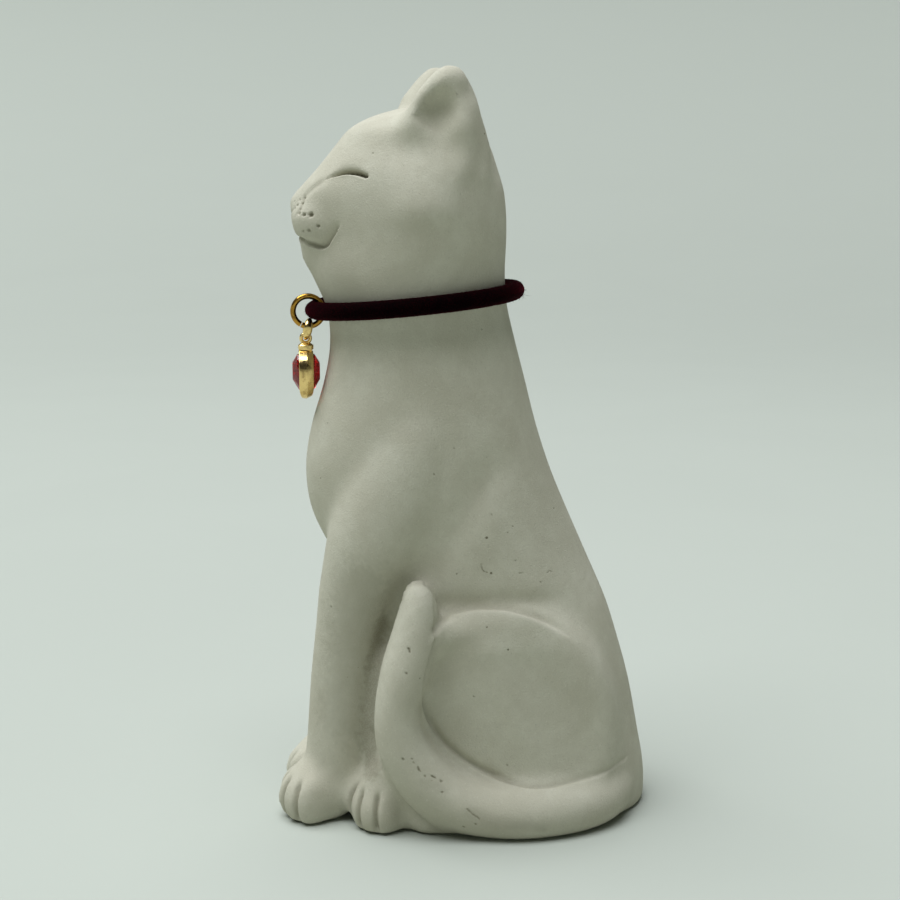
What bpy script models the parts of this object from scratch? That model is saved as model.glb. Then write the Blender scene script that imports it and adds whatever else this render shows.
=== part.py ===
"""Seated cat figurine with an elastic collar, a split ring, a link and a crystal charm.

Metres, +Z up. The cat faces -Y and its own left side, where the tail lies, is +X.
The origin is on the flat base, under the middle of the body.
"""

from collections import namedtuple
import math

import bmesh
import bpy
from mathutils import Matrix, Vector
from mathutils.bvhtree import BVHTree
import numpy as np

MM = 0.001

# A slice through trunk, neck or head, level with the base. Front, back and widest place are
# measured along Y, and the powers set how square (above two) or pointed (below two) each end is.
Slice = namedtuple("Slice", "height front back widest half_width front_power back_power")
# A station along a limb or the tail: its middle, and its half thickness across and fore and aft.
Station = namedtuple("Station", "x y z across fore_aft")
# A rounded lump: its middle and its three half sizes.
Lump = namedtuple("Lump", "x y z rx ry rz")
# The chain of jewellery: heights of the ring's lowest wire, the eye, the cap's top and the middle of
# the band, and how far along the link its own middle and the eye are below the ring's lowest wire.
Chain = namedtuple("Chain", "ring_low link_drop eye_drop eye cap_top band")

# Trunk, neck and head, from below the base to the crown, in millimetres.
UNDER_BASE = Slice(-4.0, -15.0, 37.0, 14.0, 18.2, 2.2, 2.2)
BASE = Slice(0.0, -15.0, 37.6, 14.0, 18.8, 2.2, 2.2)
RUMP = Slice(14.0, -16.0, 36.8, 14.0, 19.4, 2.2, 2.2)
HIP = Slice(28.5, -17.5, 34.0, 13.0, 18.8, 2.2, 2.2)
LOIN = Slice(44.0, -21.5, 28.5, 9.0, 17.0, 2.2, 2.1)
BELLY = Slice(53.0, -26.3, 24.7, 4.0, 16.6, 2.1, 2.0)
CHEST_LOW = Slice(61.0, -29.6, 21.2, -1.0, 16.8, 2.1, 2.0)
CHEST = Slice(69.0, -30.5, 17.8, -5.0, 17.0, 2.1, 2.0)
SHOULDER = Slice(77.0, -29.3, 15.0, -6.5, 16.8, 2.1, 2.0)
THROAT_LOW = Slice(86.0, -26.6, 12.7, -7.2, 15.9, 2.05, 2.0)
THROAT = Slice(94.0, -25.4, 10.6, -7.8, 15.2, 2.0, 2.0)
NECK = Slice(101.0, -26.3, 9.0, -8.6, 15.0, 2.0, 2.0)
JAW = Slice(106.5, -28.8, 8.6, -9.0, 15.9, 1.9, 2.0)
CHEEK = Slice(112.5, -29.4, 8.9, -8.5, 17.2, 1.65, 2.05)
MUZZLE = Slice(118.0, -30.8, 8.8, -8.0, 17.8, 1.58, 2.1)
NOSE = Slice(122.0, -31.6, 8.4, -7.5, 17.6, 1.55, 2.1)
BROW = Slice(126.0, -28.0, 7.6, -7.0, 16.8, 1.7, 2.1)
FOREHEAD = Slice(131.0, -23.9, 6.0, -6.5, 14.2, 1.85, 2.1)
CROWN_EDGE = Slice(135.0, -20.0, 3.4, -7.0, 11.6, 2.0, 2.0)
CROWN = Slice(137.2, -14.6, -1.0, -7.5, 6.4, 2.0, 2.0)
CROWN_TOP = Slice(138.1, -11.0, -5.5, -8.5, 2.4, 2.0, 2.0)
TRUNK = (
    UNDER_BASE, BASE, RUMP, HIP, LOIN, BELLY, CHEST_LOW, CHEST, SHOULDER, THROAT_LOW, THROAT,
    NECK, JAW, CHEEK, MUZZLE, NOSE, BROW, FOREHEAD, CROWN_EDGE, CROWN, CROWN_TOP,
)

# Muzzle and chin, and the nose above the muzzle.
MUZZLE_PAD = Lump(2.4, -26.5, 116.4, 5.8, 6.1, 5.3)
CHIN = Lump(0.0, -25.5, 111.0, 6.0, 5.4, 5.0)
NOSE_TIP = Lump(0.0, -30.1, 119.9, 2.6, 2.7, 2.7)

# Forelegs with their shoulders, given for the left one. The right one stands a little further back.
# Each paw is turned outwards.
FORELEG = (
    Station(7.0, -4.5, 88.0, 6.0, 6.0),
    Station(8.4, -8.0, 78.0, 8.8, 9.2),
    Station(9.0, -12.5, 67.0, 9.5, 10.6),
    Station(9.1, -17.2, 56.5, 8.8, 9.6),
    Station(8.4, -21.0, 46.5, 7.2, 8.0),
    Station(7.8, -22.8, 38.0, 6.2, 6.9),
    Station(7.1, -24.1, 28.0, 5.8, 6.5),
    Station(6.6, -24.9, 16.0, 5.6, 6.3),
    Station(6.4, -25.4, 5.0, 5.8, 6.6),
)
FOREPAW = Lump(6.8, -28.4, 5.0, 6.5, 7.4, 7.6)
FOREPAW_TURN = math.radians(20.0)
RIGHT_FORELEG_SET_BACK = 1.6
FORE_TOE = Lump(0.0, -33.5, 4.2, 1.9, 3.8, 5.2)
# Plaster left between foreleg and hind leg, so the casting leaves the mould.
WEB = Lump(6.5, -11.0, 20.0, 6.5, 9.0, 26.0)
HIND_PAW = Lump(12.6, -14.4, 5.4, 5.4, 8.4, 9.4)
HIND_PAW_TURN = math.radians(35.0)
HIND_TOE = Lump(0.0, -20.2, 4.0, 1.75, 3.8, 5.2)
TOE_COUNT = 4
FORE_TOE_PITCH = 3.1
HIND_TOE_PITCH = 2.7
TOE_SET_BACK = 0.7

# Thigh of the hind leg: a thick pebble laid on the flank, drawn in towards the body at its rear and,
# where the tail covers it, at its front.
THIGH = Lump(21.0, 4.5, 19.5, 9.0, 26.0, 24.6)
THIGH_EDGE_DEPTH = 1.9
THIGH_EDGE_WIDTH = 3.6
THIGH_REAR_DRAW = 3.2
THIGH_FRONT = -10.0
THIGH_FRONT_DRAW = 11.0

# Ears: slices from the skull to the tip, given for the left one at the height of the right one,
# which stands a little higher, and the hollow in each.
EAR_ROOT_HEIGHT = 125.0
EAR_TIP_HEIGHT = 146.5
EAR = (
    Station(9.4, -4.0, EAR_ROOT_HEIGHT, 7.2, 9.6),
    Station(10.0, -4.5, EAR_TIP_HEIGHT - 14.5, 5.2, 9.7),
    Station(11.0, -4.1, EAR_TIP_HEIGHT - 9.5, 4.8, 7.9),
    Station(11.7, -3.5, EAR_TIP_HEIGHT - 5.0, 3.9, 5.4),
    Station(12.0, -3.1, EAR_TIP_HEIGHT - 1.7, 2.5, 3.2),
    Station(12.1, -3.0, EAR_TIP_HEIGHT, 1.2, 1.5),
)
LEFT_EAR_LOWER = 1.2
EAR_HOLLOW = Lump(18.9, -6.0, EAR_TIP_HEIGHT - 9.6, 6.9, 5.2, 6.8)

# Tail: from the rump along the left flank on the floor, then up beside the foreleg.
TAIL = (
    Station(0.0, 30.0, 6.4, 5.4, 5.4),
    Station(8.0, 29.4, 5.6, 5.4, 5.4),
    Station(15.6, 25.6, 4.7, 5.3, 5.3),
    Station(20.0, 18.6, 4.3, 5.3, 5.3),
    Station(21.8, 9.8, 4.4, 5.3, 5.3),
    Station(20.9, 1.5, 5.2, 5.3, 5.3),
    Station(19.9, -4.8, 7.6, 5.4, 5.4),
    Station(19.4, -10.0, 12.2, 5.4, 5.4),
    Station(19.4, -13.5, 18.4, 5.0, 5.0),
    Station(19.6, -14.4, 25.4, 4.7, 4.7),
    Station(19.6, -12.9, 32.4, 4.8, 4.8),
    Station(19.3, -11.0, 38.8, 4.5, 4.5),
    Station(19.0, -10.0, 44.4, 3.9, 3.9),
    Station(18.8, -9.9, 47.2, 3.3, 3.3),
)

# Surface of the casting.
GRAIN = 0.9 * MM
SMOOTHING_PASSES = 4
BODY_TRIANGLES = 12000

# Collar: a round elastic cord on the neck.
CORD_DIAMETER = 3.6 * MM
COLLAR_HEIGHT = 101.5 * MM
COLLAR_CENTRE_Y = -8.8 * MM
COLLAR_TILT = math.radians(5.5)
CORD_CLEARANCE = 0.2 * MM
CORD_SEGMENTS = 72
CORD_SIDES = 12
BOW_HALF_LENGTH = 4.0 * MM
PINCHED_CORD = 2.9 * MM
PINCH_HALF_LENGTH = 2.4 * MM

# Split ring round the cord at the throat, where it pinches the cord.
RING_INNER_DIAMETER = 4.7 * MM
RING_WIRE = 1.1 * MM
RING_CLEARANCE = 0.15 * MM
RING_HANG = math.radians(15.0)

# Link between ring and charm: a small oval of flat wire, narrowed where it hooks into its neighbours.
LINK_INNER_HEIGHT = 2.9 * MM
LINK_INNER_WIDTH = 2.6 * MM
LINK_WIRE = 0.8 * MM
LINK_BREADTH = 1.8 * MM
LINK_CLEARANCE = 0.35 * MM
LINK_LEAN = math.radians(13.0)

# Charm: an eye on a shouldered cap, a band and a crystal cut on both faces.
EYE_WIRE = 0.7 * MM
EYE_CLEARANCE = 0.15 * MM
EYE_SUNK = 0.6
CAP_LENGTH = 3.0 * MM
CAP_WIDTH = 3.0 * MM
CAP_HEIGHT = 1.1 * MM
CAP_TOP_LENGTH = 1.7 * MM
BAND_HEIGHT = 9.8 * MM
BAND_WIDTH = 8.8 * MM
BAND_LENGTH = 2.8 * MM
BAND_THICKNESS = 0.7 * MM
CRYSTAL_THICKNESS = 5.3 * MM
TABLE_SHARE = 0.42
SHOULDER_SHARE = 0.80
CRYSTAL_GIRDLE = 1.5 * MM
CRYSTAL_RISE = 0.5 * MM
CHARM_CLEARANCE = 0.25 * MM
SETTING_GAP = 0.05 * MM
CAP_GAP = 0.05 * MM
CRYSTAL_FACETS = 12
BAND_SEGMENTS = 48

PLASTER = (0.62, 0.60, 0.48)
VELVET = (0.06, 0.005, 0.01)
GOLD = (0.78, 0.55, 0.20)
RED = (0.55, 0.01, 0.02)


def clear_scene():
    """Remove every object of the scene."""
    for old in list(bpy.data.objects):
        bpy.data.objects.remove(old, do_unlink=True)


def material(name, colour, roughness, metallic, transmission=0.0):
    """A Principled material with one colour."""
    made = bpy.data.materials.new(name)
    made.use_nodes = True
    shader = made.node_tree.nodes["Principled BSDF"]
    shader.inputs["Base Color"].default_value = (*colour, 1.0)
    shader.inputs["Roughness"].default_value = roughness
    shader.inputs["Metallic"].default_value = metallic
    shader.inputs["Transmission Weight"].default_value = transmission
    made.diffuse_color = (*colour, 1.0)
    return made


def add_object(name, shape, finish, origin=(0.0, 0.0, 0.0), smooth=True):
    """Put a bmesh into the scene as a closed object whose origin is at the point given."""
    place = Vector(origin)
    bmesh.ops.translate(shape, verts=shape.verts, vec=-place)
    bmesh.ops.recalc_face_normals(shape, faces=shape.faces)
    mesh = bpy.data.meshes.new(name)
    shape.to_mesh(mesh)
    shape.free()
    for face in mesh.polygons:
        face.use_smooth = smooth
    mesh.materials.append(finish)
    made = bpy.data.objects.new(name, mesh)
    made.location = place
    bpy.context.scene.collection.objects.link(made)
    return made


def curve_through(keys, values, wanted):
    """Smooth curve through the values at the keys, read at the wanted places."""
    keys = np.asarray(keys, float)
    values = np.asarray(values, float)
    slopes = np.gradient(values, keys, axis=0)
    at = np.clip(np.searchsorted(keys, wanted, side="right") - 1, 0, len(keys) - 2)
    span = keys[at + 1] - keys[at]
    part = (wanted - keys[at]) / span
    part = part[:, None]
    span = span[:, None]
    rise = (2 * part ** 3 - 3 * part ** 2 + 1) * values[at]
    rise = rise + (part ** 3 - 2 * part ** 2 + part) * span * slopes[at]
    rise = rise + (3 * part ** 2 - 2 * part ** 3) * values[at + 1]
    return rise + (part ** 3 - part ** 2) * span * slopes[at + 1]


def skin(shape, rings, closed=False):
    """Join rings of points into a tube. The ends are capped, or the tube closes on itself."""
    rows = []
    for ring in rings:
        rows.append([shape.verts.new(Vector(point)) for point in ring])
    pairs = list(zip(rows[:-1], rows[1:]))
    if closed:
        pairs.append((rows[-1], rows[0]))
    for low, high in pairs:
        count = len(low)
        for i in range(count):
            j = (i + 1) % count
            shape.faces.new((low[i], low[j], high[j], high[i]))
    if not closed:
        shape.faces.new(list(reversed(rows[0])))
        shape.faces.new(rows[-1])
    return shape


def rounded(value, power):
    """Cosine or sine bent to a squarer or more pointed section."""
    return math.copysign(abs(value) ** (2.0 / power), value)


def slice_points(row, count=64):
    """Points round one slice of the trunk."""
    points = []
    for i in range(count):
        angle = 2 * math.pi * i / count
        side = math.cos(angle)
        along = math.sin(angle)
        power = row.back_power if along > 0 else row.front_power
        reach = row.back - row.widest if along > 0 else row.widest - row.front
        x = row.half_width * rounded(side, power)
        y = row.widest + reach * rounded(along, power)
        points.append((x * MM, y * MM, row.height * MM))
    return points


def trunk_shape(shape):
    """Trunk, neck and head as one skin over the slices."""
    keys = [row.height for row in TRUNK]
    wanted = np.linspace(keys[0], keys[-1], 96)
    rows = curve_through(keys, [tuple(row) for row in TRUNK], wanted)
    skin(shape, [slice_points(Slice(*row)) for row in rows])


def limb_shape(shape, stations, side=1.0, shift=(0.0, 0.0, 0.0), steps=40, count=28):
    """A limb: ellipses square to a smooth path through the stations."""
    keys = np.arange(len(stations))
    wanted = np.linspace(0, len(stations) - 1, steps)
    rows = curve_through(keys, [tuple(one) for one in stations], wanted)
    middles = [Vector((row[0], row[1], row[2])) for row in rows]
    rings = []
    across = Vector((1.0, 0.0, 0.0))
    for i, row in enumerate(rows):
        ahead = middles[min(i + 1, len(rows) - 1)] - middles[max(i - 1, 0)]
        ahead.normalize()
        across = (across - ahead * across.dot(ahead)).normalized()
        other = ahead.cross(across)
        ring = []
        for k in range(count):
            angle = 2 * math.pi * k / count
            point = middles[i] + across * row[3] * math.cos(angle) + other * row[4] * math.sin(angle)
            ring.append(((point.x * side + shift[0]) * MM, (point.y + shift[1]) * MM,
                         (point.z + shift[2]) * MM))
        rings.append(ring)
    skin(shape, rings)


def lump_shape(shape, lump, side=1.0, shift=(0.0, 0.0, 0.0), turn=0.0):
    """A rounded lump, its front turned outwards."""
    place = Matrix.Translation(((lump.x * side + shift[0]) * MM, (lump.y + shift[1]) * MM,
                                (lump.z + shift[2]) * MM))
    size = Matrix.Diagonal((lump.rx * MM, lump.ry * MM, lump.rz * MM, 1.0))
    way = Matrix.Rotation(turn * side, 4, "Z")
    bmesh.ops.create_uvsphere(shape, u_segments=24, v_segments=16, radius=1.0, matrix=place @ way @ size)


def thigh_shape(shape, side):
    """The thigh: ellipses side by side across the body, with a rounded outer edge."""
    rings = []
    sections = [(THIGH.x - THIGH.rx, 0.0)]
    for step in range(9):
        turn = math.pi / 2 * step / 8
        depth = THIGH_EDGE_DEPTH * (1.0 - math.sin(turn))
        sections.append((THIGH.x - depth, THIGH_EDGE_WIDTH * (1.0 - math.cos(turn))))
    for x, inset in sections:
        ring = []
        for k in range(56):
            angle = 2 * math.pi * k / 56
            y = THIGH.y + (THIGH.ry - inset) * math.cos(angle)
            z = THIGH.z + (THIGH.rz - inset) * math.sin(angle)
            rear = max(0.0, (y - THIGH.y) / THIGH.ry)
            front = max(0.0, (THIGH_FRONT - y) / (THIGH_FRONT - THIGH.y + THIGH.ry))
            drawn = x - THIGH_REAR_DRAW * rear ** 2 - THIGH_FRONT_DRAW * front
            ring.append((drawn * side * MM, y * MM, z * MM))
        rings.append(ring)
    skin(shape, rings)


def toes_shape(shape, toe, paw, pitch, turn, side, set_back=0.0):
    """A row of toes across the front of a turned paw, the outer ones a little further back."""
    for number in range(TOE_COUNT):
        step = number - (TOE_COUNT - 1) / 2
        across = pitch * step
        ahead = toe.y - paw.y + TOE_SET_BACK * step * step
        x = paw.x + across * math.cos(turn) - ahead * math.sin(turn)
        y = paw.y + across * math.sin(turn) + ahead * math.cos(turn)
        spot = Lump(x, y, toe.z, toe.rx, toe.ry, toe.rz)
        lump_shape(shape, spot, side, (0.0, set_back, 0.0), turn)


def settled_mesh(made):
    """Mesh of an object with its modifiers worked in."""
    graph = bpy.context.evaluated_depsgraph_get()
    return bpy.data.meshes.new_from_object(made.evaluated_get(graph))


def ear_mesh(side, lower):
    """One ear with its hollow cut."""
    solid = bmesh.new()
    limb_shape(solid, EAR, side, (0.0, 0.0, -lower), 24, 28)
    hollow = bmesh.new()
    lump_shape(hollow, EAR_HOLLOW, side, (0.0, 0.0, -lower))
    finish = material("working", PLASTER, 0.9, 0.0)
    ear = add_object("ear_form", solid, finish)
    cutter = add_object("ear_hollow", hollow, finish)
    cutter.hide_render = True
    cutter.display_type = "WIRE"
    cut = ear.modifiers.new("hollow", "BOOLEAN")
    cut.operation = "DIFFERENCE"
    cut.solver = "EXACT"
    cut.object = cutter
    mesh = settled_mesh(ear)
    bpy.data.objects.remove(ear, do_unlink=True)
    bpy.data.objects.remove(cutter, do_unlink=True)
    bpy.data.materials.remove(finish)
    return mesh


def cat_body():
    """The casting: every form run together, smoothed, and cut flat at the base."""
    forms = bmesh.new()
    trunk_shape(forms)
    for side in (1.0, -1.0):
        set_back = 0.0 if side > 0 else RIGHT_FORELEG_SET_BACK
        limb_shape(forms, FORELEG, side, (0.0, set_back, 0.0))
        lump_shape(forms, FOREPAW, side, (0.0, set_back, 0.0), FOREPAW_TURN)
        toes_shape(forms, FORE_TOE, FOREPAW, FORE_TOE_PITCH, FOREPAW_TURN, side, set_back)
        lump_shape(forms, WEB, side)
        lump_shape(forms, HIND_PAW, side, turn=HIND_PAW_TURN)
        toes_shape(forms, HIND_TOE, HIND_PAW, HIND_TOE_PITCH, HIND_PAW_TURN, side)
        thigh_shape(forms, side)
        lump_shape(forms, MUZZLE_PAD, side)
    lump_shape(forms, CHIN)
    lump_shape(forms, NOSE_TIP)
    limb_shape(forms, TAIL, steps=90)
    tip = TAIL[-1]
    lump_shape(forms, Lump(tip.x, tip.y, tip.z, tip.across, tip.fore_aft, tip.fore_aft))
    forms.from_mesh(ear_mesh(1.0, LEFT_EAR_LOWER))
    forms.from_mesh(ear_mesh(-1.0, 0.0))
    finish = material("plaster", PLASTER, 0.85, 0.0)
    rough = add_object("rough_body", forms, finish)
    remesh = rough.modifiers.new("one_skin", "REMESH")
    remesh.mode = "VOXEL"
    remesh.voxel_size = GRAIN
    relax = rough.modifiers.new("soften", "SMOOTH")
    relax.factor = 0.5
    relax.iterations = SMOOTHING_PASSES
    whole = settled_mesh(rough)
    rough.modifiers.clear()
    rough.data = whole
    thin = rough.modifiers.new("fewer", "DECIMATE")
    thin.ratio = BODY_TRIANGLES / (2.0 * len(whole.polygons))
    whole = settled_mesh(rough)
    bpy.data.objects.remove(rough, do_unlink=True)
    shape = bmesh.new()
    shape.from_mesh(whole)
    everything = shape.verts[:] + shape.edges[:] + shape.faces[:]
    bmesh.ops.bisect_plane(shape, geom=everything, plane_co=(0.0, 0.0, 0.0),
                           plane_no=(0.0, 0.0, 1.0), clear_inner=True)
    rim = [edge for edge in shape.edges if edge.is_boundary]
    bmesh.ops.edgeloop_fill(shape, edges=rim)
    bmesh.ops.triangulate(shape, faces=[face for face in shape.faces if len(face.verts) > 3])
    return add_object("cat_body", shape, finish)


def neck_reach(tree, angle, lift):
    """How far the neck's surface is from the collar's middle, that much above the collar's plane."""
    middle, across, along, square = collar_axes()
    way = across * math.cos(angle) + along * math.sin(angle)
    hit = tree.ray_cast(middle + square * lift, way)
    return hit[3]


def collar_axes():
    """Middle of the collar's tilted plane, and its directions across, along and square to it."""
    middle = Vector((0.0, COLLAR_CENTRE_Y, COLLAR_HEIGHT))
    across = Vector((1.0, 0.0, 0.0))
    along = Vector((0.0, math.cos(COLLAR_TILT), math.sin(COLLAR_TILT)))
    return middle, across, along, across.cross(along)


def throat_front(tree, height):
    """Front of the throat on the middle plane at one height."""
    hit = tree.ray_cast(Vector((0.0, COLLAR_CENTRE_Y, height)), Vector((0.0, -1.0, 0.0)))
    return hit[0].y


def ring_reach():
    """Outer radius of the split ring."""
    return RING_INNER_DIAMETER / 2 + RING_WIRE


def ring_slack():
    """How far the ring's middle can sit from the cord's middle."""
    return RING_INNER_DIAMETER / 2 - PINCHED_CORD / 2 - RING_CLEARANCE


def chain_heights(ring_height):
    """Heights of the pieces hung one from another below the ring's middle."""
    ring_low = ring_height - (RING_INNER_DIAMETER + RING_WIRE) / 2
    link_drop = LINK_INNER_HEIGHT / 2 - RING_WIRE / 2 - LINK_CLEARANCE
    eye_drop = link_drop + (LINK_INNER_HEIGHT + LINK_WIRE) / 2
    eye = ring_low - eye_drop * math.cos(LINK_LEAN)
    cap_top = eye - eye_inner() / 2 - EYE_WIRE * (1.0 - EYE_SUNK)
    band = cap_top - CAP_HEIGHT - BAND_HEIGHT / 2
    return Chain(ring_low, link_drop, eye_drop, eye, cap_top, band)


def ring_centre(tree, cord_height):
    """Middle of the ring: hung from the cord, its wire clear of the throat, the charm of the chest."""
    height = cord_height - ring_slack() * math.sin(RING_HANG)
    places = []
    for step in range(-7, 8):
        turn = math.radians(12 * step)
        reach = ring_reach()
        wall = throat_front(tree, height + reach * math.sin(turn))
        places.append(wall - RING_CLEARANCE - reach * math.cos(turn))
    chain = chain_heights(height)
    lean = chain.eye_drop * math.sin(LINK_LEAN)
    for step in range(-8, 9):
        share = step / 8
        wall = throat_front(tree, chain.band + share * BAND_HEIGHT / 2) - CHARM_CLEARANCE + lean
        places.append(wall - BAND_LENGTH / 2)
        if abs(share) < SHOULDER_SHARE:
            places.append(wall - CRYSTAL_THICKNESS / 2 * (1.0 - max(0.0, abs(share) - TABLE_SHARE)))
    return Vector((0.0, min(places), height))


def collar_path(tree):
    """Middle line of the cord, and the ring's middle. The cord bows out where the ring passes."""
    middle, across, along, square = collar_axes()
    radius = CORD_DIAMETER / 2
    angles = [2 * math.pi * i / CORD_SEGMENTS - math.pi / 2 for i in range(CORD_SEGMENTS)]
    reach = []
    for angle in angles:
        needs = []
        for share in (-0.8, -0.4, 0.0, 0.4, 0.8):
            lift = share * radius
            needs.append(neck_reach(tree, angle, lift) + math.sqrt(radius ** 2 - lift ** 2))
        reach.append(max(needs) + CORD_CLEARANCE)
    reach = np.array(reach)
    eased = reach
    for _ in range(4):
        eased = (np.roll(eased, 1) + 2 * eased + np.roll(eased, -1)) / 4
    eased = eased + max(0.0, float(np.max(reach - eased)))
    front = eased[0]
    for _ in range(4):
        height = (middle - along * front).z
        ring = ring_centre(tree, height)
        wanted = ring.y + ring_slack() * math.cos(RING_HANG)
        front = (middle.y - wanted) / math.cos(COLLAR_TILT)
    bow = front - eased[0]
    points = []
    for angle, out in zip(angles, eased):
        turn = math.remainder(angle + math.pi / 2, 2 * math.pi)
        out = out + bow * math.exp(-((turn * out / BOW_HALF_LENGTH) ** 2))
        points.append(middle + across * out * math.cos(angle) + along * out * math.sin(angle))
    return points, ring


def collar_cord(points):
    """The cord as a closed tube along its middle line."""
    square = collar_axes()[3]
    rings = []
    count = len(points)
    for i, point in enumerate(points):
        ahead = (points[(i + 1) % count] - points[i - 1]).normalized()
        out = ahead.cross(square).normalized()
        pinch = math.exp(-((point - points[0]).length / PINCH_HALF_LENGTH) ** 2)
        radius = (CORD_DIAMETER - (CORD_DIAMETER - PINCHED_CORD) * pinch) / 2
        ring = []
        for k in range(CORD_SIDES):
            angle = 2 * math.pi * k / CORD_SIDES
            ring.append(point + (out * math.cos(angle) + square * math.sin(angle)) * radius)
        rings.append(ring)
    shape = skin(bmesh.new(), rings, closed=True)
    return add_object("collar_cord", shape, material("velvet", VELVET, 0.95, 0.0))


def wire_loop(path, first, second, thickness, breadths=None, sides=12):
    """A closed loop of wire along a flat path given by two directions, round or of the breadths given."""
    square = first.cross(second)
    rings = []
    count = len(path)
    for i, point in enumerate(path):
        ahead = (path[(i + 1) % count] - path[i - 1]).normalized()
        out = ahead.cross(square).normalized()
        ring = []
        for k in range(sides):
            angle = 2 * math.pi * k / sides
            breadth = breadths[i] if breadths else thickness
            ring.append(point + (out * thickness * math.cos(angle) + square * breadth * math.sin(angle)) / 2)
        rings.append(ring)
    return skin(bmesh.new(), rings, closed=True)


def round_path(middle, first, second, radius, count):
    """Points round a circle."""
    turns = [2 * math.pi * i / count for i in range(count)]
    return [middle + (first * math.cos(turn) + second * math.sin(turn)) * radius for turn in turns]


def link_path(middle, side, up):
    """Middle line of the link's wire, two half circles joined by straight sides, and the wire's breadths."""
    radius = (LINK_INNER_WIDTH + LINK_WIRE) / 2
    straight = (LINK_INNER_HEIGHT - LINK_INNER_WIDTH) / 2
    points = []
    breadths = []
    for i in range(32):
        turn = 2 * math.pi * (i + 0.5) / 32
        lift = straight if turn < math.pi else -straight
        points.append(middle + side * radius * math.cos(turn) + up * (radius * math.sin(turn) + lift))
        share = abs(math.cos(turn)) ** (1.3 if turn < math.pi else 2.0)
        breadths.append(LINK_WIRE + (LINK_BREADTH - LINK_WIRE) * share)
    return points, breadths


def oval_points(width, height, y, middle, count, turn=0.0):
    """Points round an upright oval."""
    points = []
    for i in range(count):
        angle = 2 * math.pi * (i + turn) / count
        points.append(Vector((middle.x + width / 2 * math.cos(angle), middle.y + y,
                              middle.z + height / 2 * math.sin(angle))))
    return points


def band_shape(middle):
    """The band: a short oval tube."""
    inner_width = BAND_WIDTH - 2 * BAND_THICKNESS
    inner_height = BAND_HEIGHT - 2 * BAND_THICKNESS
    half = BAND_LENGTH / 2
    rings = [
        oval_points(BAND_WIDTH, BAND_HEIGHT, -half, middle, BAND_SEGMENTS),
        oval_points(BAND_WIDTH, BAND_HEIGHT, half, middle, BAND_SEGMENTS),
        oval_points(inner_width, inner_height, half, middle, BAND_SEGMENTS),
        oval_points(inner_width, inner_height, -half, middle, BAND_SEGMENTS),
    ]
    return skin(bmesh.new(), rings, closed=True)


def crystal_shape(middle):
    """The crystal: a waist held by the band and a cut dome on each face."""
    room = 2 * BAND_THICKNESS + 2 * SETTING_GAP
    width = (BAND_WIDTH - room) * math.cos(math.pi / BAND_SEGMENTS)
    height = (BAND_HEIGHT - room) * math.cos(math.pi / BAND_SEGMENTS)
    shape = bmesh.new()
    for way in (-1.0, 1.0):
        points = oval_points(width, height, way * CRYSTAL_GIRDLE / 2, middle, CRYSTAL_FACETS)
        shoulder = way * (CRYSTAL_GIRDLE + CRYSTAL_THICKNESS) / 4
        raised = middle + Vector((0.0, 0.0, CRYSTAL_RISE))
        points += oval_points(width * SHOULDER_SHARE, height * SHOULDER_SHARE, shoulder, raised,
                              CRYSTAL_FACETS, 0.5)
        points += oval_points(width * TABLE_SHARE, height * TABLE_SHARE, way * CRYSTAL_THICKNESS / 2,
                              raised, CRYSTAL_FACETS)
        for point in points:
            shape.verts.new(point)
    bmesh.ops.convex_hull(shape, input=shape.verts)
    return shape


def cap_shape(top, middle, eye_middle, gold):
    """Shouldered cap with an eye on top, hollowed to sit on the band."""
    block = bmesh.new()
    low = middle.z
    high = top
    shoulder = top - CAP_HEIGHT * 0.45
    rings = []
    for height, length, width in (
        (low, CAP_LENGTH, CAP_WIDTH),
        (shoulder, CAP_LENGTH, CAP_WIDTH),
        (high, CAP_TOP_LENGTH, CAP_TOP_LENGTH),
    ):
        ring = []
        for i in range(24):
            angle = 2 * math.pi * i / 24
            x = width / 2 * rounded(math.cos(angle), 4.0)
            y = length / 2 * rounded(math.sin(angle), 4.0)
            ring.append(Vector((middle.x + x, middle.y + y, height)))
        rings.append(ring)
    skin(block, rings)
    cap = add_object("cap_block", block, gold)
    gap = 2 * CAP_GAP
    seat = bmesh.new()
    skin(seat, [
        oval_points(BAND_WIDTH + gap, BAND_HEIGHT + gap, -CAP_LENGTH, middle, BAND_SEGMENTS),
        oval_points(BAND_WIDTH + gap, BAND_HEIGHT + gap, CAP_LENGTH, middle, BAND_SEGMENTS),
    ])
    seat_form = add_object("cap_seat", seat, gold)
    across = Vector((0.0, 1.0, 0.0))
    up = Vector((0.0, 0.0, 1.0))
    radius = (eye_inner() + EYE_WIRE) / 2
    eye = wire_loop(round_path(eye_middle, across, up, radius, 24), across, up, EYE_WIRE, sides=10)
    eye_form = add_object("cap_eye", eye, gold)
    for form, operation in ((seat_form, "DIFFERENCE"), (eye_form, "UNION")):
        form.hide_render = True
        form.display_type = "WIRE"
        step = cap.modifiers.new(form.name, "BOOLEAN")
        step.operation = operation
        step.solver = "EXACT"
        step.object = form
    mesh = settled_mesh(cap)
    shape = bmesh.new()
    shape.from_mesh(mesh)
    for form in (cap, seat_form, eye_form):
        bpy.data.objects.remove(form, do_unlink=True)
    bmesh.ops.remove_doubles(shape, verts=shape.verts, dist=CAP_GAP / 50)
    bmesh.ops.triangulate(shape, faces=shape.faces)
    return shape


def eye_inner():
    """Inner diameter of the charm's eye."""
    return LINK_WIRE + 2 * EYE_CLEARANCE


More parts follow.
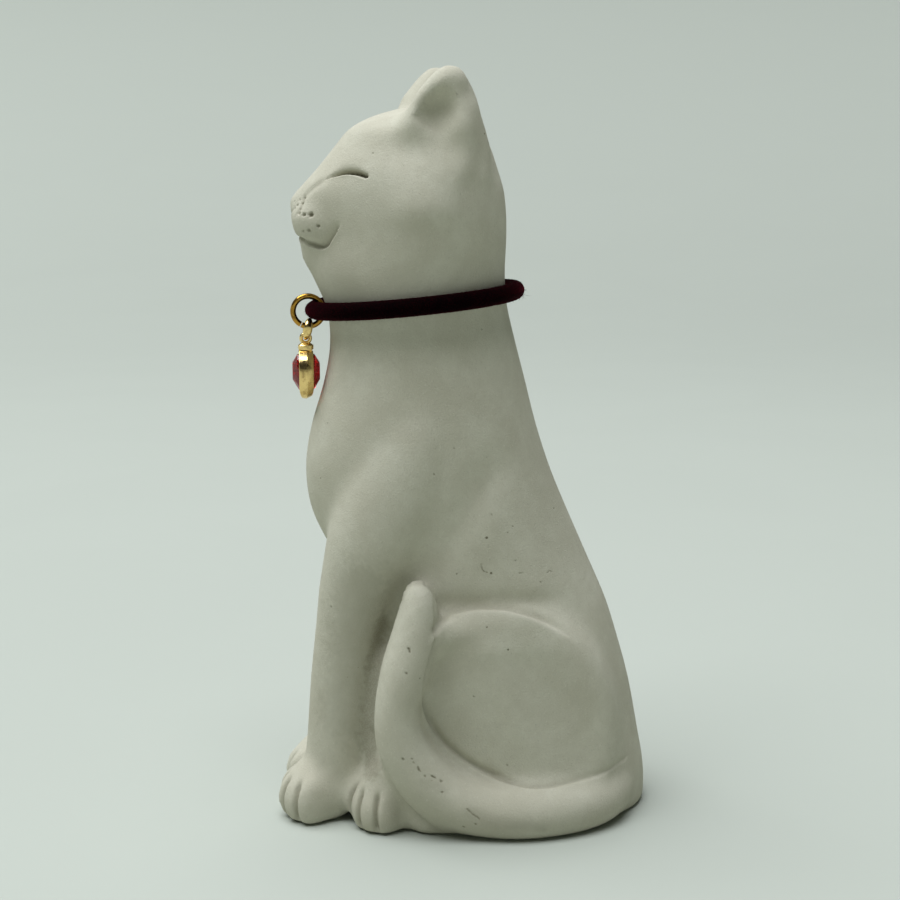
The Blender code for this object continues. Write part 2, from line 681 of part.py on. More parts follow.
def jewellery(ring):
    """Split ring, link and charm, each hung from the one above."""
    gold = material("gold", GOLD, 0.28, 1.0)
    side = Vector((1.0, 0.0, 0.0))
    along = Vector((0.0, 1.0, 0.0))
    up = Vector((0.0, 0.0, 1.0))
    ring_radius = (RING_INNER_DIAMETER + RING_WIRE) / 2
    ring_wire = wire_loop(round_path(ring, along, up, ring_radius, 40), along, up, RING_WIRE)
    add_object("jump_ring", ring_wire, gold, ring)
    chain = chain_heights(ring.z)
    hang = Vector((0.0, ring.y, chain.ring_low))
    down = Vector((0.0, -math.sin(LINK_LEAN), -math.cos(LINK_LEAN)))
    link_line, breadths = link_path(hang + down * chain.link_drop, side, -down)
    link_wire = wire_loop(link_line, side, -down, LINK_WIRE, breadths)
    add_object("charm_link", link_wire, material("gold_link", GOLD, 0.28, 1.0), hang)
    eye_middle = hang + down * chain.eye_drop
    band_middle = Vector((0.0, eye_middle.y, chain.band))
    cap_gold = material("gold_cap", GOLD, 0.32, 1.0)
    cap = cap_shape(chain.cap_top, band_middle, eye_middle, cap_gold)
    add_object("charm_cap", cap, cap_gold, eye_middle, smooth=False)
    band_gold = material("gold_band", GOLD, 0.22, 1.0)
    add_object("charm_band", band_shape(band_middle), band_gold, eye_middle, smooth=False)
    stone = material("red_crystal", RED, 0.03, 0.0, 0.8)
    add_object("crystal", crystal_shape(band_middle), stone, eye_middle, smooth=False)


clear_scene()
cat = cat_body()
surface = bmesh.new()
surface.from_mesh(cat.data)
neck = BVHTree.FromBMesh(surface)
surface.free()
cord_line, ring_middle = collar_path(neck)
collar_cord(cord_line)
jewellery(ring_middle)
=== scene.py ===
"""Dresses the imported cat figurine: plaster, velvet collar, gold fittings, crystal and a plain stage."""

from collections import namedtuple
import math
import random

import bmesh
import bpy
from bpy.props import FloatProperty, FloatVectorProperty, IntProperty, PointerProperty
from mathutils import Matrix, Vector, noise
from mathutils.bvhtree import BVHTree
import numpy as np


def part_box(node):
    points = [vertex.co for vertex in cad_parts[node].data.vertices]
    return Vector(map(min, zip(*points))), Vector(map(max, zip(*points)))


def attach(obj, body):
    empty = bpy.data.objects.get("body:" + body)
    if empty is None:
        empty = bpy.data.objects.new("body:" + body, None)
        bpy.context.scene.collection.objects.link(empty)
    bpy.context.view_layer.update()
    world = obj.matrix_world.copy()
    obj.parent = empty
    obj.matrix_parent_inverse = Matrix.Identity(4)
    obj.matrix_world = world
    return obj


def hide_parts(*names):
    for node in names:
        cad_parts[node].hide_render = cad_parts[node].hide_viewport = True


bl_info = {
    "name": "Cat Figurine Dresser",
    "version": (1, 0, 0),
    "blender": (4, 5, 0),
    "location": "View3D > Sidebar > Figurine",
    "description": "Builds the finished surfaces of a seated cat figurine over its packed solids",
    "category": "Object",
}

MM = 0.001
# Rays that look for the skin start this far from the cat's middle, in metres.
CLEAR_OF_SKIN = 0.1

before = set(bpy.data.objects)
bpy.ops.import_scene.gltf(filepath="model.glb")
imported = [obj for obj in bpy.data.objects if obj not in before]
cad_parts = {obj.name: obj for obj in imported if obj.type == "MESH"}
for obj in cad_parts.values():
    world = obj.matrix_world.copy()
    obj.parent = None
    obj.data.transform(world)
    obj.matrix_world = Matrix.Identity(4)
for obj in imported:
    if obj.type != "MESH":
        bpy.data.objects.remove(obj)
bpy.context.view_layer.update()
BODY_FLOOR = Vector(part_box("cat_body")[0]).z
RING_LOW, RING_HIGH = (Vector(corner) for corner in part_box("jump_ring"))
BAND_LOW, BAND_HIGH = (Vector(corner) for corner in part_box("charm_band"))
CORD_BACK = Vector(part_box("collar_cord")[1]).y


# Sizes and colours that a user would change


def colour_setting(name, description, value):
    """A colour that a user can change."""
    return FloatVectorProperty(name=name, description=description, subtype="COLOR", size=3, default=value)


def length_setting(name, description, value):
    """A length that a user can change, in metres."""
    return FloatProperty(name=name, description=description, default=value, unit="LENGTH", precision=5)


class PlasterSettings(bpy.types.PropertyGroup):
    """Surface of the cast cat."""

    grain: length_setting("Skin grain", "Spacing of the points of the finished skin", 0.80 * MM)
    smoothing: IntProperty(
        name="Smoothing", description="Passes that take the flat facets out of the skin", default=6)
    colour: colour_setting("Plaster", "Colour of clean plaster", (0.540, 0.526, 0.420))
    shade: colour_setting("Mottling", "Colour of the slightly darker patches", (0.460, 0.441, 0.342))
    # Colour that grooves, toe gaps, holes and wide patches are darkened towards as painted shade, and chips
    # and pinholes as dust.
    shade_and_dust: colour_setting("Stain", "Colour of dust in the hollows and chips", (0.085, 0.075, 0.032))


class CollarSettings(bpy.types.PropertyGroup):
    """Velvet cord round the neck."""

    colour: colour_setting("Velvet", "Colour of the pile", (0.0008, 0.0001, 0.0002))
    tip: colour_setting("Pile tips", "Colour of the tips of the pile", (0.0200, 0.0008, 0.0028))
    fibres: IntProperty(
        name="Fibres", description="How many fine fibres stand off the pile", default=1500)
    fibre_length: length_setting("Fibre length", "Length of a fine fibre", 0.32 * MM)


class CharmSettings(bpy.types.PropertyGroup):
    """Gold fittings and crystal."""

    ring_gold: colour_setting("Ring gold", "Colour of the split ring", (0.50, 0.27, 0.045))
    charm_gold: colour_setting("Charm gold", "Colour of the link, cap and band", (0.90, 0.66, 0.27))
    tarnish: colour_setting("Tarnish", "Colour of the gold in its hollows", (0.16, 0.085, 0.02))
    crystal: colour_setting("Crystal", "Colour of the crystal", (0.90, 0.0012, 0.003))
    cut: length_setting("Ring cut", "Width of the cut in the split ring", 0.07 * MM)
    edge: length_setting("Edge", "Rounding of the band's edges", 0.14 * MM)


class StageSettings(bpy.types.PropertyGroup):
    """Floor, light and camera."""

    floor: colour_setting("Floor", "Colour of the floor and backdrop", (0.425, 0.455, 0.394))
    azimuth: FloatProperty(
        name="Azimuth", description="Camera's turn from the cat's front", subtype="ANGLE",
        default=math.radians(84.0))
    elevation: FloatProperty(
        name="Elevation", description="Camera's tilt above level", subtype="ANGLE",
        default=math.radians(9.5))
    distance: FloatProperty(
        name="Distance", description="From the camera to the point it looks at", unit="LENGTH",
        default=325.0 * MM)
    lens: FloatProperty(
        name="Lens", description="Focal length on a 36 mm wide sensor", default=65.76)


SETTINGS = (
    ("figurine_plaster", PlasterSettings),
    ("figurine_collar", CollarSettings),
    ("figurine_charm", CharmSettings),
    ("figurine_stage", StageSettings),
)

LOOK_AT = Vector((0.0, -2.0 * MM, 71.7 * MM))

# The ridge round the charm's band, as a share of the way from its front edge to its back one, and the
# slope of the face behind it.
BAND_RIDGE = 0.57
BAND_SLOPE = math.radians(19.0)
# The outer face of the band starts at this share of its radius. Its foot is this share of its height, and
# the foot's tip keeps this share of the band's width.
BAND_OUTSIDE = 0.92
BAND_FOOT = 0.30
BAND_FOOT_WIDTH = 0.35
# Where the cut in the ring lies, as a turn forwards from its lowest point.
RING_CUT_TURN = math.radians(28.0)
RING_TARNISH = 0.75
CHARM_TARNISH = 0.48
# Loose ends at the nape: how many, how long in millimetres, and how near the back of the cord they start.
LOOSE_ENDS = 14
LOOSE_END_LENGTH = (0.7, 1.5)
NAPE_REACH = 1.6 * MM
FIBRE_RADIUS = 0.016 * MM
LOOSE_END_RADIUS = 0.022 * MM
# How much a fibre leans at its root, and how much it droops towards its tip.
FIBRE_LEAN = 0.55
FIBRE_DROOP = 0.35
# How far the pile's surface sinks and rises from place to place, in millimetres.
PILE_UNEVEN = (-0.05, 0.03)
# The one light hangs overhead and in front of the cat.
LIGHT_PLACE = (0.0, -0.52, 2.4)
LIGHT_SIZE = 2.5
LIGHT_POWER = 114.5
LIGHT_COLOUR = (0.97, 1.0, 1.07)
SKY_COLOUR = (0.92, 1.0, 0.95, 1.0)
SKY_STRENGTH = 0.03
# The floor's flat middle, and the rings that rise round it: how much wider each is, and how much higher.
FLOOR_RADIUS = 0.9
FLOOR_RINGS = (
    (1.25, 0.01), (1.22, 0.03), (1.20, 0.07), (1.20, 0.12), (1.20, 0.20), (1.20, 0.28), (1.20, 0.36),
)
# The floor is paler far off: between which distances, and by how much. Its clouds are a little paler too.
FLOOR_FADE = (0.6, 3.4)
FLOOR_FAR = 1.62
FLOOR_CLOUDS = 1.012

# Carving in the plaster. A line's points are (y, z) in millimetres as seen from the cat's side, or
# (x, z) as seen from its front. The groove has a width to the left and to the right of the way the line
# runs, as seen with Y or X to the right and Z up, so one bank can be steep and the other a slope. A lip
# above zero raises the left bank, and one below zero the right one. Dust_and_shade says how dark the groove
# is painted, as painted shade in the crease with some dust, start and end how much of its depth is left
# there, and a swelling line is widest in the middle.
Line = namedtuple("Line", "points left right depth lip lip_reach dirt start end swell view sides")


def side_line(points, left, right, depth, lip=0.0, lip_reach=1.0, dirt=0.0, start=0.0, end=0.0, swell=False,
              sides=(1, -1)):
    """A line carved from the side, on the left flank, the right one or both."""
    return Line(points, left, right, depth, lip, lip_reach, dirt, start, end, swell, "side", sides)


def front_line(points, left, right, depth, dirt=0.0, start=0.0, end=0.0):
    """A line carved from the front."""
    return Line(points, left, right, depth, 0.0, 1.0, dirt, start, end, False, "front", (1,))


EYE_LID = side_line(
    ((-25.9, 124.6), (-24.8, 125.0), (-24.0, 125.2), (-22.9, 125.5), (-21.7, 125.55), (-20.8, 125.45),
     (-19.9, 125.25), (-18.9, 124.95)),
    1.30, 0.14, 0.62, lip=-0.16, lip_reach=0.5, start=0.35, end=0.7, swell=True)
EYE_SLIT = side_line(
    ((-25.0, 125.1), (-24.0, 125.45), (-22.9, 125.8), (-21.7, 125.9), (-20.8, 125.8), (-19.9, 125.5),
     (-19.0, 125.1)),
    0.44, 0.36, 0.95, dirt=1.0, start=0.25, end=0.95)
EYE_TO_NOSE = side_line(
    ((-25.9, 124.5), (-27.1, 123.9), (-28.4, 123.0), (-29.5, 121.9), (-30.2, 120.9)),
    0.85, 0.70, 0.30, dirt=0.10, start=0.5, end=0.6)
NOSE_SIDE = side_line(
    ((-30.1, 121.4), (-30.5, 120.0), (-31.1, 118.7), (-31.6, 118.0)),
    0.34, 0.30, 0.24, dirt=0.35, start=0.6, end=0.6)
MOUTH = side_line(
    ((-31.4, 113.3), (-30.4, 112.8), (-29.5, 112.3), (-28.4, 112.0), (-27.0, 111.7), (-26.0, 112.2),
     (-25.1, 113.6), (-24.2, 115.1)),
    1.15, 0.16, 0.85, lip=-0.14, lip_reach=0.8, dirt=0.40, start=0.7, end=0.75)
PHILTRUM = front_line(((0.0, 118.6), (0.0, 116.4), (0.0, 113.6)), 0.50, 0.50, 0.40, dirt=0.35, start=0.6,
                      end=0.8)
NOSE_UNDER = front_line(
    ((-3.0, 119.2), (-1.6, 118.3), (0.0, 118.0), (1.6, 118.3), (3.0, 119.2)),
    0.34, 0.30, 0.14, dirt=0.45, start=0.6, end=0.6)
LIP_FRONT = front_line(
    ((-3.6, 112.9), (-1.9, 113.2), (0.0, 113.9), (1.9, 113.2), (3.6, 112.9)),
    0.46, 0.30, 0.50, dirt=0.45, start=0.8, end=0.8)
THIGH_TOP = side_line(
    ((-7.0, 41.2), (-6.0, 42.1), (-4.6, 42.8), (-2.2, 43.5), (0.8, 44.1), (3.7, 44.2), (6.5, 44.0),
     (9.0, 43.5), (11.3, 42.8), (13.4, 41.9), (15.3, 40.9), (17.3, 39.7), (19.3, 38.4), (21.4, 37.2)),
    1.00, 0.90, 0.70, lip=-0.85, lip_reach=2.4, dirt=0.18, start=0.7, end=0.0, sides=(1,))
RIGHT_THIGH_TOP = THIGH_TOP._replace(lip=-0.30, lip_reach=1.8, sides=(-1,))
TAIL_INSIDE = side_line(
    ((-7.0, 45.5), (-7.0, 42.0), (-7.2, 39.0), (-8.2, 35.3), (-9.1, 31.5), (-9.3, 27.6), (-8.6, 24.0),
     (-7.0, 20.4), (-4.5, 17.1), (-1.2, 14.2), (2.5, 12.0), (6.2, 10.5), (10.0, 9.8), (14.5, 9.6),
     (20.0, 9.9), (25.2, 10.5), (29.2, 11.3), (31.5, 11.4)),
    0.85, 0.40, 0.62, lip=-0.22, lip_reach=1.2, dirt=0.24, start=0.3, end=0.3, sides=(1,))
TAIL_OUTSIDE = side_line(
    ((-18.4, 18.9), (-17.6, 16.3), (-16.5, 13.7), (-15.2, 11.3), (-13.5, 8.4), (-11.4, 5.8), (-9.1, 3.5),
     (-6.4, 1.5)),
    0.26, 1.10, 0.75, lip=0.26, lip_reach=1.2, dirt=0.24, start=0.5, end=0.6, sides=(1,))
SHOULDER_VALLEY = side_line(
    ((8.8, 76.0), (6.0, 71.7), (3.0, 67.6), (-0.4, 62.6), (-3.8, 57.2), (-6.4, 52.9), (-8.6, 49.6)),
    3.4, 4.6, 1.05, dirt=0.04, start=0.0, end=0.7)
EAR_RIDGE = side_line(
    ((0.0, 142.3), (1.3, 138.8), (2.4, 135.2), (2.9, 131.6), (2.6, 128.0), (1.9, 125.3), (0.4, 122.6),
     (-0.9, 120.8), (-3.1, 118.3)),
    1.0, 4.0, 0.0, lip=-1.5, lip_reach=9.0, start=0.2, end=0.0)
LINES = (
    EYE_LID, EYE_SLIT, EYE_TO_NOSE, NOSE_SIDE, MOUTH, PHILTRUM, NOSE_UNDER, LIP_FRONT, THIGH_TOP,
    RIGHT_THIGH_TOP, TAIL_INSIDE, TAIL_OUTSIDE, SHOULDER_VALLEY, EAR_RIDGE,
)
# The middle of a left forepaw and hind paw as (x, y), the gaps between their toes in degrees outwards from
# straight ahead, and the sizes of a gap.
FOREPAW = (6.8, -28.4)
HIND_PAW = (12.6, -14.4)
FORE_TOE_GAPS = (50.0, 20.0, -10.0)
HIND_TOE_GAPS = (62.0, 35.0, 8.0)
PAW_REACH = 11.0
TOE_GAP_FOOT = 0.6
TOE_GAP_TOP = 9.4
TOE_GAP_STEPS = 24
TOE_GAP_WIDTH = 0.50
TOE_GAP_DEPTH = 1.0
# How dark a toe gap is painted: painted shade in the gap, with some dust.
TOE_GAP_DUST_AND_SHADE = 0.42
# Whisker holes and worn pits of the nose, as (y, z) from the side, each with its size beside a plain hole's.
WHISKER_HOLES = (
    (-28.9, 118.0, 1.3), (-30.2, 118.0, 1.0), (-31.1, 118.2, 0.8), (-27.6, 115.9, 0.8), (-29.3, 115.0, 0.8),
    (-30.4, 114.9, 0.6),
)
NOSE_PITS = (
    (-30.1, 121.1, 0.55), (-30.9, 120.7, 0.45), (-30.5, 120.1, 0.70), (-31.4, 119.7, 0.65),
    (-30.9, 119.0, 0.50), (-31.8, 119.1, 0.40), (-31.9, 120.4, 0.38),
)
HOLE_WIDTH = 0.34
HOLE_DEPTH = 0.42
# How dark a whisker hole or pit is painted: painted shade in the hole, with some dust.
HOLE_DUST_AND_SHADE = 0.62
# Where the skin is eased before the carving: along the back of each thigh and over the right one, as seen
# from the side and each with its side and reach, and at the front foot of each ear, as (x, y, z).
THIGH_BACK = ((17.5, 40.0), (21.5, 36.2), (25.5, 31.2), (28.6, 25.6), (30.4, 20.5), (31.0, 17.5))
RIGHT_THIGH = ((6.0, 32.0), (9.0, 22.0), (12.0, 12.0))
EASED_COURSES = ((1, THIGH_BACK, 6.0), (-1, THIGH_BACK, 6.0), (-1, RIGHT_THIGH, 10.0))
EASE_SPACING = 0.6
EAR_FOOT = (8.0, -12.2, 135.8)
EAR_FOOT_REACH = 4.5
EASE_PASSES = 110
# Small pushes along Y, each round a place (y, z) and fading out at its reach both ways.
Push = namedtuple("Push", "y z reach_y reach_z shift")
PUSHES = (
    Push(-24.0, 36.0, 6.5, 19.0, 0.8),
    Push(36.0, 25.0, 10.0, 14.0, -0.7),
    Push(24.0, 58.0, 9.0, 16.0, -0.35),
    Push(4.0, 131.0, 6.0, 7.0, -0.5),
    Push(-33.0, 119.5, 3.5, 3.0, -0.35),
)
# Parts of the flanks that are turned upwards: a place (y, z) with its reach both ways, and how far the
# skin leans in for each millimetre above a level and out below it. A flank starts between two distances
# from the middle.
Tilt = namedtuple("Tilt", "y z reach_y reach_z lean level")
TILTS = (
    Tilt(-8.0, 124.5, 7.0, 7.5, 0.20, 124.5),
    Tilt(5.0, 40.5, 12.0, 5.0, 0.18, 37.5),
)
FLANK_FADE = (5.0 * MM, 9.0 * MM)
# The flat hollow of an ear: its front edge from low to high, its lower end, how far it reaches back, how
# deep it is, and how far from the middle of the head it starts.
EAR_EDGE = ((-10.9, 135.7), (-4.0, 142.8))
EAR_FLOOR = ((-10.9, 135.7), (-1.8, 129.8))
EAR_REACH = 8.4
EAR_DEPTH = 0.9
EAR_INNER = 6.0
# Where the hollow sinks behind its edge, how wide its flat floor is, where it rises to the floor's end, and
# the heights between which it runs out at the tip.
EAR_STEP = (-0.1, 0.7)
EAR_FLAT = 3.2
EAR_FLOOR_STEP = (-0.5, 1.0)
EAR_TIP = (139.5, 143.5)
RIGHT_EAR_RAISE = 1.2
RIGHT_FOREPAW_BACK = 1.6
# Chips, hairs and dark patches on the left side: the points they run through, their width, their depth and
# how
# dark they are painted. Chips and hairs hold dust. Those wider than DARK_PATCH_WIDTH are flat dark patches:
# painted shade in the recess between foreleg and tail, on the foreleg and under the chin, and darker patches
# low on the tail.
Chip = namedtuple("Chip", "points width depth dirt")
DARK_PATCH_WIDTH = 0.5
# Spacing of the unevenness that breaks the outline of holes and chips, and how strong it is.
RAGGED_SPACING = 0.35 * MM
HOLE_RAGGED = 0.3
CHIP_RAGGED = 0.6
# Spacing of the points of a line, a hole and a chip on the skin, in millimetres.
LINE_SPACING = 0.4
HOLE_SPACING = 0.05
CHIP_SPACING = 0.1
# The share of a line's length over which it sinks to its full depth, at each end.
LINE_EASE = 0.35
# Painted shade and dust lie this near to the middle of a wide groove, in millimetres.
DUST_AND_SHADE_WIDTH = 0.55
# How near to a line, toe gap, hole or chip the skin is made finer in the first pass and the second, in
# millimetres. A line counts as steep in each pass when its right bank is narrower than STEEP_BANK.
FINE_LINE = (1.1, 0.8)
STEEP_BANK = (1.0, 0.5)
FINE_TOE = 1.3
FINE_HOLE = (1.1, 0.6)
FINE_CHIP = (0.9, 0.5)


def dot(y, z, width=0.16, depth=0.09, dirt=0.75):
    """A small round chip."""
    return Chip(((y - 0.06, z), (y + 0.06, z - 0.03)), width, depth, dirt)


CHIPS = (
    dot(-13.4, 17.1, 0.22, 0.12),
    dot(-11.7, 17.0, 0.17),
    dot(-11.4, 16.3, 0.15),
    Chip(((-10.6, 15.4), (-10.5, 14.9), (-10.2, 14.6)), 0.17, 0.12, 0.85),
    dot(-9.3, 13.6, 0.22, 0.12),
    Chip(((-7.9, 13.4), (-7.4, 13.1)), 0.20, 0.12, 0.85),
    dot(-6.2, 12.3, 0.22, 0.12),
    dot(-6.1, 10.4, 0.17),
    dot(-2.0, 3.4, 0.20),
    Chip(((-1.4, 7.1), (-0.2, 6.0), (0.8, 5.3)), 0.17, 0.10, 0.65),
    dot(0.2, 4.2, 0.16),
    Chip(((-12.2, 38.3), (-12.0, 37.7)), 0.22, 0.14, 0.85),
    dot(-12.7, 33.7, 0.20),
    dot(-10.1, 32.4, 0.12),
    dot(-26.2, 43.9, 0.15),
    Chip(((2.3, 52.5), (2.3, 51.8), (2.5, 51.2), (3.3, 50.8)), 0.09, 0.06, 0.80),
    dot(4.3, 61.9, 0.13),
    dot(8.9, 52.8, 0.11),
    Chip(((9.6, 50.4), (10.6, 50.3)), 0.08, 0.05, 0.70),
    Chip(((15.3, 50.0), (15.8, 50.2), (16.3, 50.0)), 0.08, 0.05, 0.70),
    dot(8.4, 59.4, 0.10),
    dot(7.4, 58.2, 0.10),
    dot(-6.8, 70.1, 0.12),
    dot(-3.0, 74.9, 0.12),
    dot(17.4, 61.3, 0.11),
    dot(13.8, 48.4, 0.11),
    dot(7.0, 13.3, 0.15),
    dot(0.5, 27.3, 0.12),
    dot(2.8, 96.7, 0.12),
    dot(-17.5, 129.3, 0.12),
    # Flat darker patches low on the tail, with no depth.
    Chip(((-0.9, 6.6), (1.9, 5.5), (4.7, 4.7), (7.5, 4.3), (10.4, 3.8), (12.4, 3.2)), 1.30, 0.0, 0.15),
    Chip(((-9.6, 12.6), (-7.6, 11.6), (-6.0, 10.8)), 0.90, 0.0, 0.10),
    # Painted shade, not cut: the recess between the foreleg and the tail (with some brownish dust there), the
    # shin of the foreleg and the throat under the chin are darkened in colour.
    Chip(((-16.6, 40.0), (-17.6, 35.4), (-18.4, 27.0), (-19.2, 19.0), (-18.8, 12.0)), 2.2, 0.0, 0.46),
    Chip(((-21.0, 48.0), (-22.0, 36.0), (-23.0, 22.0)), 5.5, 0.0, 0.20),
    Chip(((-24.0, 107.5), (-22.5, 104.5), (-21.5, 102.0)), 4.0, 0.0, 0.13),
)


# Work on meshes


def deselect():
    """Leave edit mode and select nothing."""
    if bpy.context.object and bpy.context.object.mode != "OBJECT":
        bpy.ops.object.mode_set(mode="OBJECT")
    bpy.ops.object.select_all(action="DESELECT")


def make_active(piece):
    """Select one object and make it the active one."""
    deselect()
    piece.select_set(True)
    bpy.context.view_layer.objects.active = piece


def apply_modifier(piece, name, kind, **values):
    """Add a modifier, set its values and apply it."""
    make_active(piece)
    step = piece.modifiers.new(name, kind)
    for key, value in values.items():
        setattr(step, key, value)
    bpy.ops.object.modifier_apply(modifier=name)


def edit_all(piece):
    """Enter edit mode on one object, with everything selected."""
    make_active(piece)
    bpy.ops.object.mode_set(mode="EDIT")
    bpy.ops.mesh.select_all(action="SELECT")


def edit_faces(piece, chosen):
    """Enter edit mode on one object, with only the chosen faces selected."""
    make_active(piece)
    bpy.ops.object.mode_set(mode="EDIT")
    bpy.ops.mesh.select_mode(type="FACE")
    bpy.ops.mesh.select_all(action="DESELECT")
    bpy.ops.object.mode_set(mode="OBJECT")
    piece.data.polygons.foreach_set("select", chosen)
    bpy.ops.object.mode_set(mode="EDIT")


def ease_edges(piece, width, segments, degrees):
    """Round the edges at which the faces turn by more than some degrees."""
    apply_modifier(piece, "ease_edges", "BEVEL", width=width, segments=segments, limit_method="ANGLE",
                   angle_limit=math.radians(degrees))


def join_triangles(piece):
    """Turn a mesh's triangles into quads wherever two can be joined."""
    edit_all(piece)
    bpy.ops.mesh.tris_convert_to_quads(face_threshold=math.pi, shape_threshold=math.pi)
    bpy.ops.object.mode_set(mode="OBJECT")


def copy_node(node_name, piece_name, flat_angle=0.0):
    """A new piece that starts as a CAD node's shape, its loose triangles merged into one skin."""
    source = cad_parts[node_name]
    piece = bpy.data.objects.new(piece_name, source.data.copy())
    bpy.context.scene.collection.objects.link(piece)
    edit_all(piece)
    bpy.ops.mesh.remove_doubles(threshold=0.002 * MM)
    bpy.ops.mesh.normals_make_consistent(inside=False)
    if flat_angle:
        bpy.ops.mesh.dissolve_limited(angle_limit=flat_angle)
    bpy.ops.object.mode_set(mode="OBJECT")
    if "custom_normal" in piece.data.attributes:
        bpy.ops.mesh.customdata_custom_splitnormals_clear()
    return piece


def finish_piece(piece, body, node, material, smooth_angle=math.pi):
    """Give a piece its material, shading and body, and hide the node it stands for."""
    make_active(piece)
    piece.data.materials.clear()
    piece.data.materials.append(material)
    if smooth_angle == 0.0:
        bpy.ops.object.shade_flat()
    elif smooth_angle == math.pi:
        bpy.ops.object.shade_smooth()
    else:
        bpy.ops.object.shade_smooth_by_angle(angle=smooth_angle)
    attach(piece, body)
    if node:
        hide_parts(node)


def read_points(piece):
    """Points of a mesh and the normals there."""
    count = len(piece.data.vertices)
    points = np.empty(count * 3)
    normals = np.empty(count * 3)
    piece.data.vertices.foreach_get("co", points)
    piece.data.vertices.foreach_get("normal", normals)
    return points.reshape(-1, 3), normals.reshape(-1, 3)


def write_points(piece, points):
    """Move a mesh's points."""
    piece.data.vertices.foreach_set("co", points.reshape(-1))
    piece.data.update()


def skin_tree(piece):
    """Search tree over a mesh's faces."""
    mesh = piece.data
    return BVHTree.FromPolygons(
        [vertex.co for vertex in mesh.vertices], [tuple(face.vertices) for face in mesh.polygons])


def rounded_course(points, spacing):
    """Points along a smooth curve through the ones given, a set distance apart."""
    points = np.asarray(points, float)
    steps = np.linalg.norm(np.diff(points, axis=0), axis=1)
    keys = np.concatenate([[0.0], np.cumsum(steps)])
    slopes = np.gradient(points, keys, axis=0) if len(points) > 2 else np.diff(points, axis=0) / keys[-1]
    if len(points) == 2:
        slopes = np.repeat(slopes, 2, axis=0)
    wanted = np.linspace(0.0, keys[-1], max(3, int(keys[-1] / spacing) + 1))
    at = np.clip(np.searchsorted(keys, wanted, side="right") - 1, 0, len(keys) - 2)
    span = (keys[at + 1] - keys[at])[:, None]
    part = (wanted - keys[at])[:, None] / span
    rise = (2 * part ** 3 - 3 * part ** 2 + 1) * points[at]
    rise += (part ** 3 - 2 * part ** 2 + part) * span * slopes[at]
    rise += (3 * part ** 2 - 2 * part ** 3) * points[at + 1]
    return rise + (part ** 3 - part ** 2) * span * slopes[at + 1]


def lay_on_skin(tree, points, view, side, spacing):
    """Drop a course of (y, z) or (x, z) points, in millimetres, on the skin from one side or the front."""
    laid = []
    for first, height in rounded_course(points, spacing):
        if view == "side":
            start = Vector((side * CLEAR_OF_SKIN, first * MM, height * MM))
            way = Vector((-side, 0.0, 0.0))
        else:
            start = Vector((first * MM, -CLEAR_OF_SKIN, height * MM))
            way = Vector((0.0, 1.0, 0.0))
        spot = tree.ray_cast(start, way)[0]
        if spot is not None:
            laid.append(tuple(spot))
    return np.array(laid)


def near_course(points, course, reach, axis=1):
    """The points within reach of a course: their places in the list, distances, shares along it and sides.

    The side is above zero to the left of the course, as seen with Y (or X, for axis nought) to the right.
    """
    low = course.min(axis=0) - reach
    high = course.max(axis=0) + reach
    close = np.nonzero(np.all((points > low) & (points < high), axis=1))[0]
    away = np.full(len(close), 1.0)
    share = np.zeros(len(close))
    side = np.zeros(len(close))
    for i in range(len(course) - 1):
        run = course[i + 1] - course[i]
        length = float(np.linalg.norm(run))
        if length < 1e-9:
            continue
        off = points[close] - course[i]
        part = np.clip(off @ run / length ** 2, 0.0, 1.0)
        gap = off - part[:, None] * run
        distance = np.linalg.norm(gap, axis=1)
        better = distance < away
        away = np.where(better, distance, away)
        share = np.where(better, (i + part) / (len(course) - 1), share)
        side = np.where(better, (run[axis] * gap[:, 2] - run[2] * gap[:, axis]) / length, side)
    kept = away < reach
    return close[kept], away[kept], share[kept], side[kept]


def refine(piece, courses, cuts):
    """Subdivide the faces near some courses. Each course comes with the distance that counts as near."""
    mesh = piece.data
    centres = np.empty(len(mesh.polygons) * 3)
    mesh.polygons.foreach_get("center", centres)
    centres = centres.reshape(-1, 3)
    chosen = np.zeros(len(centres), bool)
    for course, reach in courses:
        chosen[near_course(centres, course, reach)[0]] = True
    edit_faces(piece, chosen)
    bpy.ops.mesh.subdivide(number_cuts=cuts, smoothness=0.0, ngon=True, quadcorner="INNERVERT")
    bpy.ops.object.mode_set(mode="OBJECT")


def fading(spots, y, z, reach_y, reach_z):
    """How much of a change round a place (y, z) is left at each spot, all in millimetres."""
    return np.exp(-((spots[:, 0] - y) / reach_y) ** 4 - ((spots[:, 1] - z) / reach_z) ** 4)


def smooth_step(value, low, high):
    """Rise from nought to one between two values, without corners."""
    part = np.clip((value - low) / (high - low), 0.0, 1.0)
    return part * part * (3.0 - 2.0 * part)


# Materials


def new_material(name):
    """A material with its node tree and its shader."""
    material = bpy.data.materials.new(name)
    material.use_nodes = True
    return material, material.node_tree, material.node_tree.nodes["Principled BSDF"]


def feed(tree, node, values):
    """Set or link some inputs of a node. A value that is a socket is linked."""
    for name, value in values.items():
        if isinstance(value, bpy.types.NodeSocket):
            tree.links.new(value, node.inputs[name])
        else:
            node.inputs[name].default_value = value


def add_node(tree, kind, links=(), **values):
    """A shader node with its properties and inputs set. Links are inputs by name or number, linked or set."""
    node = tree.nodes.new(kind)
    for key, value in values.items():
        if key in node.bl_rna.properties:
            setattr(node, key, value)
        else:
            node.inputs[key.replace("_", " ")].default_value = value
    feed(tree, node, dict(links))
    return node


def math_node(tree, operation, first, second):
    """Output of a sum or other operation on two values or sockets."""
    node = tree.nodes.new("ShaderNodeMath")
    node.operation = operation
    node.use_clamp = operation in ("MULTIPLY", "ADD")
    feed(tree, node, {0: first, 1: second})
    return node.outputs[0]


